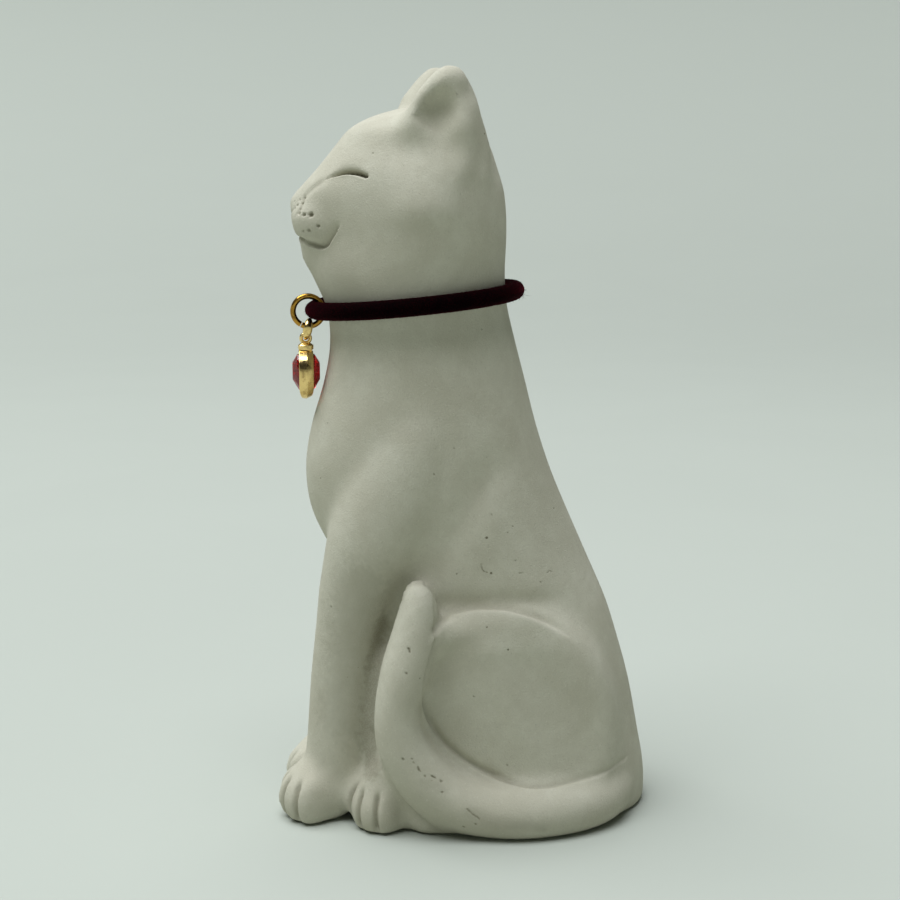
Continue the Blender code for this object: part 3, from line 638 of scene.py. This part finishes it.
def span_node(tree, value, low, high, to_low=0.0, to_high=1.0):
    """Output that goes from one value to another as a socket goes from low to high."""
    node = add_node(tree, "ShaderNodeMapRange", {"Value": value}, From_Min=low, From_Max=high,
                    To_Min=to_low, To_Max=to_high)
    node.interpolation_type = "SMOOTHSTEP"
    return node.outputs["Result"]


def noise_node(tree, place, scale, detail, **values):
    """Output of a noise texture, its scale a number or a socket."""
    node = add_node(tree, "ShaderNodeTexNoise", {"Vector": place, "Scale": scale}, Detail=detail, **values)
    return node.outputs[0]


def bump_node(tree, height, strength, distance, under=None, **values):
    """Output of a bump, laid over another one if that is given."""
    node = add_node(tree, "ShaderNodeBump", {"Height": height}, Strength=strength, Distance=distance,
                    **values)
    if under is not None:
        tree.links.new(under, node.inputs["Normal"])
    return node.outputs[0]


def mix_colour(tree, share, first, second):
    """Output of a mix of two colours or colour sockets."""
    node = tree.nodes.new("ShaderNodeMix")
    node.data_type = "RGBA"
    tree.links.new(share, node.inputs["Factor"])
    for socket, colour in ((node.inputs[6], first), (node.inputs[7], second)):
        if isinstance(colour, bpy.types.NodeSocket):
            tree.links.new(colour, socket)
        else:
            socket.default_value = (*colour[:3], 1.0)
    return node.outputs[2]


def new_group(name, inputs, outputs):
    """An empty shared effect: its tree, its input and output nodes and the place on the object.

    Each input and output is the name of a socket and its kind.
    """
    tree = bpy.data.node_groups.new(name, "ShaderNodeTree")
    for sockets, way in ((inputs, "INPUT"), (outputs, "OUTPUT")):
        for socket, kind in sockets:
            tree.interface.new_socket(socket, in_out=way, socket_type="NodeSocket" + kind)
    place = tree.nodes.new("ShaderNodeTexCoord").outputs["Object"]
    return tree, tree.nodes.new("NodeGroupInput"), tree.nodes.new("NodeGroupOutput"), place


def speckle_group():
    """Shared effect: cloudy patches, fine grain and scattered pinholes in a matte surface."""
    if "matte_speckle" in bpy.data.node_groups:
        return bpy.data.node_groups["matte_speckle"]
    tree, given, result, place = new_group(
        "matte_speckle",
        (("Cloud Size", "Float"), ("Grain Size", "Float"), ("Pinhole Spacing", "Float")),
        (("Clouds", "Float"), ("Grain", "Float"), ("Pinholes", "Float")))

    def per_metre(name):
        return math_node(tree, "DIVIDE", 1.0, given.outputs[name])

    clouds = noise_node(tree, place, per_metre("Cloud Size"), 5.0, Roughness=0.62, Distortion=0.4)
    grain = noise_node(tree, place, per_metre("Grain Size"), 3.0, Roughness=0.7)
    cells = add_node(tree, "ShaderNodeTexVoronoi",
                     {"Vector": place, "Scale": per_metre("Pinhole Spacing")}, Randomness=1.0)
    apart = add_node(tree, "ShaderNodeSeparateColor", {"Color": cells.outputs["Color"]})
    chosen = span_node(tree, apart.outputs[0], 0.80, 0.84)
    size = span_node(tree, apart.outputs[1], 0.0, 1.0, 0.02, 0.075)
    inside = math_node(tree, "SUBTRACT", size, cells.outputs["Distance"])
    hole = span_node(tree, inside, 0.0, 0.02)
    feed(tree, result, {
        "Clouds": span_node(tree, clouds, 0.32, 0.68),
        "Grain": grain,
        "Pinholes": math_node(tree, "MULTIPLY", chosen, hole),
    })
    return tree


def place_group(tree, group, **values):
    """A node that holds a shared effect."""
    node = tree.nodes.new("ShaderNodeGroup")
    node.node_tree = group
    for key, value in values.items():
        node.inputs[key.replace("_", " ")].default_value = value
    return node


def plaster_material():
    """Matte cast plaster: cloudy, sandy, pinholed, with dust and painted shade in the carving, dust in the
    chips and painted shade in wide dark patches.
    """
    settings = bpy.context.scene.figurine_plaster
    material, tree, shader = new_material("cast_plaster")
    speckle = place_group(tree, speckle_group(), Cloud_Size=15.0 * MM, Grain_Size=0.34 * MM,
                          Pinhole_Spacing=4.2 * MM)
    # Per point: painted shade in the grooves, toe gaps, holes and wide patches, and dust in the chips.
    dirt = add_node(tree, "ShaderNodeAttribute", attribute_name="dirt").outputs["Fac"]
    smudges = place_group(tree, speckle_group(), Cloud_Size=2.6 * MM, Grain_Size=0.12 * MM,
                          Pinhole_Spacing=1.9 * MM)
    patches = mix_colour(tree, speckle.outputs["Clouds"], settings.colour, settings.shade)
    smudged = math_node(tree, "MULTIPLY", smudges.outputs["Clouds"], 0.42)
    patches = mix_colour(tree, smudged, patches, settings.shade)
    light_grain = span_node(tree, speckle.outputs["Grain"], 0.58, 0.76, 0.0, 0.52)
    dark_grain = span_node(tree, speckle.outputs["Grain"], 0.44, 0.26, 0.0, 0.56)
    sandy = mix_colour(tree, light_grain, patches, (0.68, 0.67, 0.58))
    sandy = mix_colour(tree, dark_grain, sandy, (0.36, 0.35, 0.28))
    broken = span_node(tree, speckle.outputs["Grain"], 0.30, 0.62, 0.55, 1.0)
    # Pinholes and the painted shade and dust darken the colour towards one shared colour.
    dusted_and_shaded = sandy
    for mask, amount in ((speckle.outputs["Pinholes"], 0.75), (smudges.outputs["Pinholes"], 0.30),
                         (dirt, broken)):
        dusted_and_shaded = mix_colour(tree, math_node(tree, "MULTIPLY", mask, amount), dusted_and_shaded, settings.shade_and_dust)
    lumps = bump_node(tree, speckle.outputs["Clouds"], 0.35, 0.20 * MM)
    sand = bump_node(tree, speckle.outputs["Grain"], 1.0, 0.10 * MM, lumps)
    holes = bump_node(tree, speckle.outputs["Pinholes"], 0.8, 0.15 * MM, sand, invert=True)
    feed(tree, shader, {
        "Base Color": dusted_and_shaded,
        "Roughness": span_node(tree, speckle.outputs["Grain"], 0.2, 0.8, 0.80, 0.96),
        "Specular IOR Level": 0.25,
        "Normal": holes,
    })
    return material


def velvet_material():
    """Burgundy velvet: nearly black in the pile, redder at its tips."""
    settings = bpy.context.scene.figurine_collar
    material, tree, shader = new_material("velvet_pile")
    place = tree.nodes.new("ShaderNodeTexCoord").outputs["Object"]
    pile = noise_node(tree, place, 4200.0, 3.0, Roughness=0.7)
    crush = noise_node(tree, place, 420.0, 3.0)
    tips = math_node(tree, "MULTIPLY", span_node(tree, pile, 0.45, 0.75),
                     span_node(tree, crush, 0.30, 0.70, 0.35, 1.0))
    feed(tree, shader, {
        "Base Color": mix_colour(tree, tips, settings.colour, settings.tip),
        "Roughness": span_node(tree, pile, 0.2, 0.8, 0.82, 1.0),
        "Specular IOR Level": 0.02,
        "Sheen Weight": 0.17,
        "Sheen Roughness": 0.30,
        "Sheen Tint": (0.60, 0.006, 0.06, 1.0),
        "Normal": bump_node(tree, pile, 0.9, 0.12 * MM),
    })
    return material


def worn_gold_group():
    """Shared effect: polished gold, duller and browner in patches, with hair scratches."""
    if "worn_gold" in bpy.data.node_groups:
        return bpy.data.node_groups["worn_gold"]
    tree, given, result, place = new_group(
        "worn_gold", (("Gold", "Color"), ("Tarnish", "Color"), ("Amount", "Float")),
        (("Color", "Color"), ("Roughness", "Float"), ("Height", "Float")))
    patches = noise_node(tree, place, 900.0, 4.0, Roughness=0.65)
    stretched = add_node(tree, "ShaderNodeMapping", {"Vector": place, "Rotation": (0.4, 0.2, 0.3)},
                         Scale=(1.0, 0.25, 0.25))
    dull = span_node(tree, patches, 0.48, 0.72)
    amount = math_node(tree, "MULTIPLY", dull, given.outputs["Amount"])
    feed(tree, result, {
        "Color": mix_colour(tree, amount, given.outputs["Gold"], given.outputs["Tarnish"]),
        "Roughness": span_node(tree, patches, 0.30, 0.75, 0.13, 0.34),
        "Height": noise_node(tree, stretched.outputs[0], 9000.0, 2.0),
    })
    return tree


def gold_material(name, colour, amount):
    """Gold-coloured metal with its own share of tarnish."""
    settings = bpy.context.scene.figurine_charm
    material, tree, shader = new_material(name)
    worn = place_group(tree, worn_gold_group(), Gold=(*colour, 1.0), Tarnish=(*settings.tarnish, 1.0),
                       Amount=amount)
    feed(tree, shader, {
        "Base Color": worn.outputs["Color"],
        "Roughness": worn.outputs["Roughness"],
        "Metallic": 1.0,
        "Normal": bump_node(tree, worn.outputs["Height"], 0.12, 0.02 * MM),
    })
    return material


def crystal_material():
    """Clear red cut crystal, a little denser in streaks and finely scuffed."""
    settings = bpy.context.scene.figurine_charm
    material, tree, shader = new_material("red_crystal_cut")
    place = tree.nodes.new("ShaderNodeTexCoord").outputs["Object"]
    streaks = noise_node(tree, place, 350.0, 2.0)
    scuffs = noise_node(tree, place, 2600.0, 4.0)
    deeper = tuple(part * 0.72 for part in settings.crystal)
    streaked = span_node(tree, streaks, 0.35, 0.65)
    feed(tree, shader, {
        "Base Color": mix_colour(tree, streaked, settings.crystal, deeper),
        "Roughness": span_node(tree, scuffs, 0.55, 0.80, 0.015, 0.11),
        "Transmission Weight": 0.9,
        "IOR": 1.54,
    })
    return material


def floor_material():
    """Pale matte floor and backdrop, faintly cloudy."""
    settings = bpy.context.scene.figurine_stage
    material, tree, shader = new_material("pale_floor")
    speckle = place_group(tree, speckle_group(), Cloud_Size=120.0 * MM, Grain_Size=0.9 * MM,
                          Pinhole_Spacing=30.0 * MM)
    paler = tuple(part * FLOOR_CLOUDS for part in settings.floor)
    patches = mix_colour(tree, speckle.outputs["Clouds"], settings.floor, paler)
    place = tree.nodes.new("ShaderNodeTexCoord").outputs["Object"]
    away = add_node(tree, "ShaderNodeVectorMath", {0: place}, operation="LENGTH").outputs["Value"]
    raised = tuple(part * FLOOR_FAR for part in settings.floor)
    washed = mix_colour(tree, span_node(tree, away, *FLOOR_FADE), patches, raised)
    feed(tree, shader, {"Base Color": washed, "Roughness": 0.72, "Specular IOR Level": 0.2})
    return material


# Pieces


def ease_skin(cat):
    """Smooth the backs of the thighs and the feet of the ears, and set the outline with small pushes."""
    tree = skin_tree(cat)
    points, _ = read_points(cat)
    weight = np.zeros(len(points))
    for side, eased, reach in EASED_COURSES:
        course = lay_on_skin(tree, eased, "side", side, EASE_SPACING)
        at, away, _, _ = near_course(points, course, 2.0 * reach * MM)
        weight[at] = np.maximum(weight[at], np.exp(-(away / (reach * MM)) ** 4))
    for side in (1, -1):
        foot = np.array([side * EAR_FOOT[0], EAR_FOOT[1], EAR_FOOT[2]]) * MM
        away = np.linalg.norm(points - foot, axis=1)
        weight = np.maximum(weight, np.exp(-(away / (EAR_FOOT_REACH * MM)) ** 4))
    group = cat.vertex_groups.new(name="eased")
    for number in np.nonzero(weight > 0.01)[0]:
        group.add([int(number)], float(weight[number]), "REPLACE")
    apply_modifier(cat, "ease", "SMOOTH", factor=0.5, iterations=EASE_PASSES, vertex_group="eased")
    cat.vertex_groups.clear()
    points, _ = read_points(cat)
    spots = points[:, 1:] / MM
    for push in PUSHES:
        points[:, 1] += push.shift * MM * fading(spots, *push[:4])
    outwards = np.sign(points[:, 0]) * smooth_step(abs(points[:, 0]), *FLANK_FADE)
    for tilt in TILTS:
        points[:, 0] -= outwards * tilt.lean * (spots[:, 1] - tilt.level) * MM * fading(spots, *tilt[:4])
    points[:, 2] = np.maximum(points[:, 2], BODY_FLOOR)
    write_points(cat, points)


def carving_courses(tree):
    """Every line of the carving laid on the skin, each with the line itself and the side it lies on."""
    laid = []
    for line in LINES:
        for side in line.sides:
            points = line.points
            if side < 0 and line is EAR_RIDGE:
                points = [(y, z + RIGHT_EAR_RAISE) for y, z in points]
            course = lay_on_skin(tree, points, line.view, side, LINE_SPACING)
            laid.append((course, line, side))
    return laid


def toe_courses(tree):
    """The gaps between the toes of all four paws, laid on the skin from in front of each paw."""
    courses = []
    for paw, gaps in ((FOREPAW, FORE_TOE_GAPS), (HIND_PAW, HIND_TOE_GAPS)):
        for side in (1, -1):
            set_back = RIGHT_FOREPAW_BACK if side < 0 and paw is FOREPAW else 0.0
            for gap in gaps:
                turn = math.radians(gap)
                way = Vector((side * math.sin(turn), -math.cos(turn), 0.0))
                points = []
                for height in np.linspace(TOE_GAP_FOOT, TOE_GAP_TOP, TOE_GAP_STEPS):
                    middle = Vector((side * paw[0] * MM, (paw[1] + set_back) * MM, height * MM))
                    spot, normal, _, _ = tree.ray_cast(middle + way * PAW_REACH * MM, -way, PAW_REACH * MM)
                    if spot is not None and normal.dot(way) > 0.0:
                        points.append(tuple(spot))
                courses.append(np.array(points))
    return courses


def left_of(spots, low, high):
    """How far each spot lies to the left of a straight line from one place to another."""
    low, high = np.array(low), np.array(high)
    run = (high - low) / np.linalg.norm(high - low)
    return (spots - low) @ np.array([-run[1], run[0]])


def hollow_ears(points, normals):
    """How deep each point of the skin sinks into the flat hollow of an ear."""
    depth = np.zeros(len(points))
    for side in (1, -1):
        raised = RIGHT_EAR_RAISE if side < 0 else 0.0
        spots = points[:, 1:] / MM - np.array([0.0, raised])
        behind = -left_of(spots, *EAR_EDGE)
        above = left_of(spots, *EAR_FLOOR)
        outside = (points[:, 0] * side > EAR_INNER * MM) & (normals[:, 0] * side > 0.15)
        sink = smooth_step(behind, *EAR_STEP) * (1.0 - smooth_step(behind, EAR_FLAT, EAR_REACH))
        sink = sink * smooth_step(above, *EAR_FLOOR_STEP) * (1.0 - smooth_step(spots[:, 1], *EAR_TIP))
        sink = sink * (0.55 + 0.45 * smooth_step(above, 0.0, 6.0))
        depth = np.where(outside, np.maximum(depth, sink * EAR_DEPTH * MM), depth)
    return depth


def cut_line(points, normals, shift, dirt, course, line, side):
    """Sink one line of the carving into the skin, raise its lip and lay its dust and painted shade."""
    reach = max(3.0 * line.left, 3.0 * line.right, 3.0 * line.lip_reach * (line.lip != 0.0)) * MM
    at, away, share, left = near_course(points, course, reach, 1 if line.view == "side" else 0)
    facing = normals[at, 0] * side > -0.25 if line.view == "side" else normals[at, 1] < 0.3
    at, away, share, left = at[facing], away[facing], share[facing], left[facing]
    level = np.where(share < 0.5, line.start + (1 - line.start) * smooth_step(share, 0.0, LINE_EASE),
                     line.end + (1 - line.end) * (1 - smooth_step(share, 1.0 - LINE_EASE, 1.0)))
    swell = 0.25 + 0.75 * np.sin(math.pi * share) if line.swell else 1.0
    width = np.where(left > 0.0, line.left * swell, line.right) * MM
    fall = np.exp(-(away / width) ** 2)
    shift[at] -= line.depth * MM * fall * level
    if line.lip:
        bank = line.left if line.lip > 0.0 else line.right
        raised = smooth_step(left * math.copysign(1.0, line.lip), 0.0, bank * MM)
        shift[at] += abs(line.lip) * MM * raised * np.exp(-(away / (line.lip_reach * MM)) ** 2) * level
    thin = np.exp(-(away / np.minimum(width, DUST_AND_SHADE_WIDTH * MM)) ** 2)
    dirt[at] = np.maximum(dirt[at], line.dirt * level * thin)


def ragged(points, amount):
    """A number near one for each point, uneven from place to place, to break an outline."""
    return np.array([1.0 + amount * noise.noise(Vector(point) / RAGGED_SPACING) for point in points])


def carve(cat):
    """Cut the eyes, nose, mouth, toes, creases and chips into the skin, and note where dust and painted shade
    lie.
    """
    tree = skin_tree(cat)
    laid = carving_courses(tree)
    toes = toe_courses(tree)
    holes = []
    for side in (1, -1):
        for y, z, size in WHISKER_HOLES + NOSE_PITS:
            ends = ((y - HOLE_SPACING, z), (y + HOLE_SPACING, z))
            holes.append((lay_on_skin(tree, ends, "side", side, HOLE_SPACING), size))
    chips = [(lay_on_skin(tree, chip.points, "side", 1, CHIP_SPACING), chip) for chip in CHIPS]
    small = [course for course, chip in chips if chip.width < DARK_PATCH_WIDTH]
    steep = [[(course, line) for course, line, _ in laid if line.right < bank] for bank in STEEP_BANK]
    near = [(course, (FINE_LINE[0] + line.left) * MM) for course, line in steep[0]]
    near += [(course, FINE_TOE * MM) for course in toes]
    near += [(course, FINE_HOLE[0] * MM) for course, _ in holes]
    near += [(course, FINE_CHIP[0] * MM) for course in small]
    refine(cat, near, 1)
    near = [(course, FINE_LINE[1] * MM) for course, _ in steep[1]]
    near += [(course, FINE_HOLE[1] * MM) for course, _ in holes]
    near += [(course, FINE_CHIP[1] * MM) for course in small]
    refine(cat, near, 1)
    points, normals = read_points(cat)
    shift = -hollow_ears(points, normals)
    dirt = np.zeros(len(points))
    for course, line, side in laid:
        cut_line(points, normals, shift, dirt, course, line, side)
    for course in toes:
        at, away, share, _ = near_course(points, course, 3.0 * TOE_GAP_WIDTH * MM)
        level = smooth_step(share, -0.02, 0.10) * (1.0 - smooth_step(share, 0.72, 1.0))
        fall = np.exp(-(away / (TOE_GAP_WIDTH * MM)) ** 2)
        shift[at] -= TOE_GAP_DEPTH * MM * fall * level
        dirt[at] = np.maximum(dirt[at], TOE_GAP_DUST_AND_SHADE * fall * level)
    for course, size in holes:
        at, away, _, _ = near_course(points, course, 3.0 * HOLE_WIDTH * MM)
        fall = np.exp(-(away * ragged(points[at], HOLE_RAGGED) / (HOLE_WIDTH * size * MM)) ** 4)
        shift[at] -= HOLE_DEPTH * MM * size * fall
        dirt[at] = np.maximum(dirt[at], HOLE_DUST_AND_SHADE * size * fall)
    for course, chip in chips:
        at, away, _, _ = near_course(points, course, 3.0 * chip.width * MM)
        fall = np.exp(-(away * ragged(points[at], CHIP_RAGGED) / (chip.width * MM)) ** 4)
        shift[at] -= chip.depth * MM * fall
        dirt[at] = np.maximum(dirt[at], chip.dirt * fall)
    points = points + normals * shift[:, None]
    points[:, 2] = np.maximum(points[:, 2], BODY_FLOOR)
    write_points(cat, points)
    # Darkness painted into the colour: dust in the chips, painted shade in the grooves, gaps, holes and
    # patches.
    noted = cat.data.attributes.new("dirt", "FLOAT", "POINT")
    noted.data.foreach_set("value", dirt)


class FIGURINE_OT_cat(bpy.types.Operator):
    """Build the plaster cat over its solid"""

    bl_idname = "figurine.cat"
    bl_label = "Plaster cat"

    def execute(self, context):
        settings = context.scene.figurine_plaster
        cat = copy_node("cat_body", "cat_figure")
        apply_modifier(cat, "round_off", "SUBSURF", levels=1, render_levels=1)
        apply_modifier(cat, "even_skin", "REMESH", mode="VOXEL", voxel_size=settings.grain)
        apply_modifier(cat, "soften", "SMOOTH", factor=0.5, iterations=settings.smoothing)
        ease_skin(cat)
        carve(cat)
        finish_piece(cat, "cat", "cat_body", plaster_material())
        return {"FINISHED"}


class FIGURINE_OT_collar(bpy.types.Operator):
    """Build the velvet cord with its fine fibres"""

    bl_idname = "figurine.collar"
    bl_label = "Velvet collar"

    def execute(self, context):
        settings = context.scene.figurine_collar
        cord = copy_node("collar_cord", "collar_velvet")
        join_triangles(cord)
        apply_modifier(cord, "round_off", "SUBSURF", levels=2, render_levels=2)
        points, normals = read_points(cord)
        chance = np.random.default_rng(7)
        points = points + normals * chance.uniform(*PILE_UNEVEN, len(points))[:, None] * MM
        write_points(cord, points)
        velvet = velvet_material()
        finish_piece(cord, "cat", "collar_cord", velvet)
        self.add_fibres(cord, settings, velvet)
        return {"FINISHED"}

    def add_fibres(self, cord, settings, velvet):
        """Fine fibres that stand off the pile, and a few loose ends at the nape."""
        chance = random.Random(11)
        points, normals = read_points(cord)
        shape = bmesh.new()
        for _ in range(settings.fibres):
            number = chance.randrange(len(points))
            length = settings.fibre_length * chance.uniform(0.4, 1.2)
            way = Vector(normals[number])
            self.add_fibre(shape, chance, Vector(points[number]), way, length, FIBRE_RADIUS)
        at_nape = (points[:, 1] > CORD_BACK - NAPE_REACH) & (normals[:, 2] < 0.2)
        nape = np.nonzero(at_nape)[0].tolist()
        for _ in range(LOOSE_ENDS):
            number = chance.choice(nape)
            length = chance.uniform(*LOOSE_END_LENGTH) * MM
            way = Vector(normals[number]) + Vector((0.0, 0.3, -0.9))
            self.add_fibre(shape, chance, Vector(points[number]), way.normalized(), length, LOOSE_END_RADIUS)
        mesh = bpy.data.meshes.new("collar_fibres")
        shape.to_mesh(mesh)
        shape.free()
        fibres = bpy.data.objects.new("collar_fibres", mesh)
        bpy.context.scene.collection.objects.link(fibres)
        finish_piece(fibres, "cat", None, velvet)

    def add_fibre(self, shape, chance, root, way, length, radius):
        """One tapering three-sided fibre that droops to one side."""
        lean = Vector((chance.uniform(-1, 1), chance.uniform(-1, 1), chance.uniform(-1, 1)))
        way = (way + lean * FIBRE_LEAN).normalized()
        side = way.orthogonal().normalized()
        other = way.cross(side)
        rows = []
        for share, thick in ((-0.25, 1.0), (0.45, 0.8)):
            bend = lean * length * FIBRE_DROOP * max(share, 0.0) ** 2
            middle = root + way * length * share + bend
            rows.append([
                shape.verts.new(middle + (side * math.cos(turn) + other * math.sin(turn)) * radius * thick)
                for turn in (0.0, 2.0 * math.pi / 3, 4.0 * math.pi / 3)])
        tip = shape.verts.new(root + way * length + lean * length * FIBRE_DROOP)
        for i in range(3):
            j = (i + 1) % 3
            shape.faces.new((rows[0][i], rows[0][j], rows[1][j], rows[1][i]))
            shape.faces.new((rows[1][i], rows[1][j], tip))
        shape.faces.new((rows[0][2], rows[0][1], rows[0][0]))


class FIGURINE_OT_ring(bpy.types.Operator):
    """Build the split ring with its cut"""

    bl_idname = "figurine.ring"
    bl_label = "Split ring"

    def execute(self, context):
        settings = context.scene.figurine_charm
        middle = (RING_LOW + RING_HIGH) / 2
        wire = RING_HIGH.x - RING_LOW.x
        radius = (RING_HIGH.y - RING_LOW.y - wire) / 2
        deselect()
        bpy.ops.mesh.primitive_torus_add(
            major_segments=120, minor_segments=20, major_radius=radius, minor_radius=wire / 2,
            location=middle, rotation=(0.0, math.pi / 2, 0.0))
        ring = context.object
        ring.name = "split_ring"
        bpy.ops.object.transform_apply(location=True, rotation=True, scale=True)
        turn = RING_CUT_TURN
        spot = middle + Vector((0.0, -math.sin(turn), -math.cos(turn))) * radius
        along = Vector((0.0, math.cos(turn), -math.sin(turn)))
        for way in (1.0, -1.0):
            edit_all(ring)
            bpy.ops.mesh.bisect(plane_co=spot + along * way * settings.cut / 2, plane_no=along)
        bpy.ops.object.mode_set(mode="OBJECT")
        gone = [False] * len(ring.data.polygons)
        for face in ring.data.polygons:
            off = face.center - spot
            gone[face.index] = off.length < wire and abs(off.dot(along)) < settings.cut / 2
        edit_faces(ring, gone)
        bpy.ops.mesh.delete(type="FACE")
        bpy.ops.mesh.select_all(action="SELECT")
        bpy.ops.mesh.fill_holes(sides=0)
        bpy.ops.mesh.normals_make_consistent(inside=False)
        bpy.ops.object.mode_set(mode="OBJECT")
        ease_edges(ring, 0.06 * MM, 2, 50.0)
        gold = gold_material("ring_gold", settings.ring_gold, RING_TARNISH)
        finish_piece(ring, "ring", "jump_ring", gold, smooth_angle=math.radians(40.0))
        return {"FINISHED"}


class FIGURINE_OT_charm(bpy.types.Operator):
    """Build the link, the cap, the band and the crystal"""

    bl_idname = "figurine.charm"
    bl_label = "Link and charm"

    def execute(self, context):
        settings = context.scene.figurine_charm
        gold = gold_material("charm_gold", settings.charm_gold, CHARM_TARNISH)
        link = copy_node("charm_link", "charm_bail")
        join_triangles(link)
        apply_modifier(link, "round_off", "SUBSURF", levels=2, render_levels=2)
        finish_piece(link, "link", "charm_link", gold)
        cap = copy_node("charm_cap", "charm_shoulders", math.radians(3.0))
        ease_edges(cap, 0.07 * MM, 2, 35.0)
        finish_piece(cap, "charm", "charm_cap", gold, smooth_angle=math.radians(42.0))
        self.add_band(settings, gold)
        stone = copy_node("crystal", "crystal_cut", math.radians(1.0))
        ease_edges(stone, 0.035 * MM, 1, 5.0)
        finish_piece(stone, "charm", "crystal", crystal_material(), smooth_angle=0.0)
        return {"FINISHED"}

    def add_band(self, settings, gold):
        """The band with its ridge, drawn in towards its foot, with eased edges."""
        band = copy_node("charm_band", "charm_bezel", math.radians(2.0))
        ridge = BAND_LOW.y + BAND_RIDGE * (BAND_HIGH.y - BAND_LOW.y)
        edit_all(band)
        bpy.ops.mesh.bisect(plane_co=(0.0, ridge, 0.0), plane_no=(0.0, 1.0, 0.0))
        bpy.ops.object.mode_set(mode="OBJECT")
        points, _ = read_points(band)
        centre = (BAND_LOW + BAND_HIGH) / 2
        half = (BAND_HIGH - BAND_LOW) / 2
        ring = np.hypot((points[:, 0] - centre.x) / half.x, (points[:, 2] - centre.z) / half.z)
        slope = math.tan(BAND_SLOPE) * np.maximum(points[:, 1] - ridge, 0.0) / half.x
        shrink = np.where(ring > BAND_OUTSIDE, 1.0 - slope, 1.0)
        points[:, 0] = centre.x + (points[:, 0] - centre.x) * shrink
        points[:, 2] = centre.z + (points[:, 2] - centre.z) * shrink
        height = (points[:, 2] - BAND_LOW.z) / (BAND_HIGH.z - BAND_LOW.z)
        middle = (BAND_LOW.y + BAND_HIGH.y) / 2
        foot = 1.0 - np.clip(height / BAND_FOOT, 0.0, 1.0)
        draw = BAND_FOOT_WIDTH + (1.0 - BAND_FOOT_WIDTH) * np.sqrt(1.0 - foot ** 2)
        points[:, 1] = middle + (points[:, 1] - middle) * draw
        write_points(band, points)
        ease_edges(band, settings.edge, 3, 40.0)
        finish_piece(band, "charm", "charm_band", gold, smooth_angle=math.radians(14.0))


class FIGURINE_OT_stage(bpy.types.Operator):
    """Lay the floor, hang the light and place the camera"""

    bl_idname = "figurine.stage"
    bl_label = "Stage"

    def execute(self, context):
        settings = context.scene.figurine_stage
        self.lay_floor(context)
        turn = settings.azimuth
        rise = settings.elevation
        back = Vector((math.sin(turn) * math.cos(rise), -math.cos(turn) * math.cos(rise), math.sin(rise)))
        bpy.ops.object.camera_add(location=LOOK_AT + back * settings.distance)
        camera = context.object
        camera.rotation_euler = (-back).to_track_quat("-Z", "Y").to_euler()
        camera.data.sensor_width = 36.0
        camera.data.lens = settings.lens
        camera.data.clip_start = 0.01
        context.scene.camera = camera
        context.scene.view_settings.view_transform = "Standard"
        world = bpy.data.worlds.new("studio")
        world.use_nodes = True
        sky = world.node_tree.nodes["Background"]
        feed(world.node_tree, sky, {"Color": SKY_COLOUR, "Strength": SKY_STRENGTH})
        context.scene.world = world
        self.hang_light()
        return {"FINISHED"}

    def lay_floor(self, context):
        """A round floor that rises in a wide shallow bowl, so no edge shows from any side."""
        deselect()
        bpy.ops.mesh.primitive_circle_add(vertices=96, radius=FLOOR_RADIUS, fill_type="NGON")
        floor = context.object
        floor.name = "floor"
        bpy.ops.object.mode_set(mode="EDIT")
        bpy.ops.mesh.select_mode(type="EDGE")
        bpy.ops.mesh.select_all(action="SELECT")
        bpy.ops.mesh.edge_face_add()
        for grow, lift in FLOOR_RINGS:
            bpy.ops.mesh.extrude_edges_move(TRANSFORM_OT_translate={"value": (0.0, 0.0, lift)})
            bpy.ops.transform.resize(value=(grow, grow, 1.0), center_override=(0.0, 0.0, 0.0))
        bpy.ops.object.mode_set(mode="OBJECT")
        bpy.ops.object.shade_smooth()
        floor.data.materials.append(floor_material())

    def hang_light(self):
        """A soft square light aimed at the cat."""
        bpy.ops.object.light_add(type="AREA", location=LIGHT_PLACE)
        light = bpy.context.object
        light.data.size = LIGHT_SIZE
        light.data.energy = LIGHT_POWER
        light.data.color = LIGHT_COLOUR
        light.rotation_euler = (LOOK_AT - Vector(LIGHT_PLACE)).to_track_quat("-Z", "Y").to_euler()


OPERATORS = (
    FIGURINE_OT_cat, FIGURINE_OT_collar, FIGURINE_OT_ring, FIGURINE_OT_charm, FIGURINE_OT_stage,
)


class FIGURINE_PT_panel(bpy.types.Panel):
    """Sidebar panel with every step of the figurine"""

    bl_label = "Figurine"
    bl_idname = "FIGURINE_PT_panel"
    bl_space_type = "VIEW_3D"
    bl_region_type = "UI"
    bl_category = "Figurine"

    def draw(self, context):
        for step in OPERATORS:
            self.layout.operator(step.bl_idname)


def register():
    """Register the settings, the operators and the panel."""
    for name, group in SETTINGS:
        bpy.utils.register_class(group)
        setattr(bpy.types.Scene, name, PointerProperty(type=group))
    for step in OPERATORS:
        bpy.utils.register_class(step)
    bpy.utils.register_class(FIGURINE_PT_panel)


def unregister():
    """Take the panel, the operators and the settings away again."""
    bpy.utils.unregister_class(FIGURINE_PT_panel)
    for step in reversed(OPERATORS):
        bpy.utils.unregister_class(step)
    for name, group in reversed(SETTINGS):
        delattr(bpy.types.Scene, name)
        bpy.utils.unregister_class(group)


def main():
    """Run every step in order."""
    register()
    bpy.ops.figurine.cat()
    bpy.ops.figurine.collar()
    bpy.ops.figurine.ring()
    bpy.ops.figurine.charm()
    bpy.ops.figurine.stage()


if __name__ == "__main__":
    main()
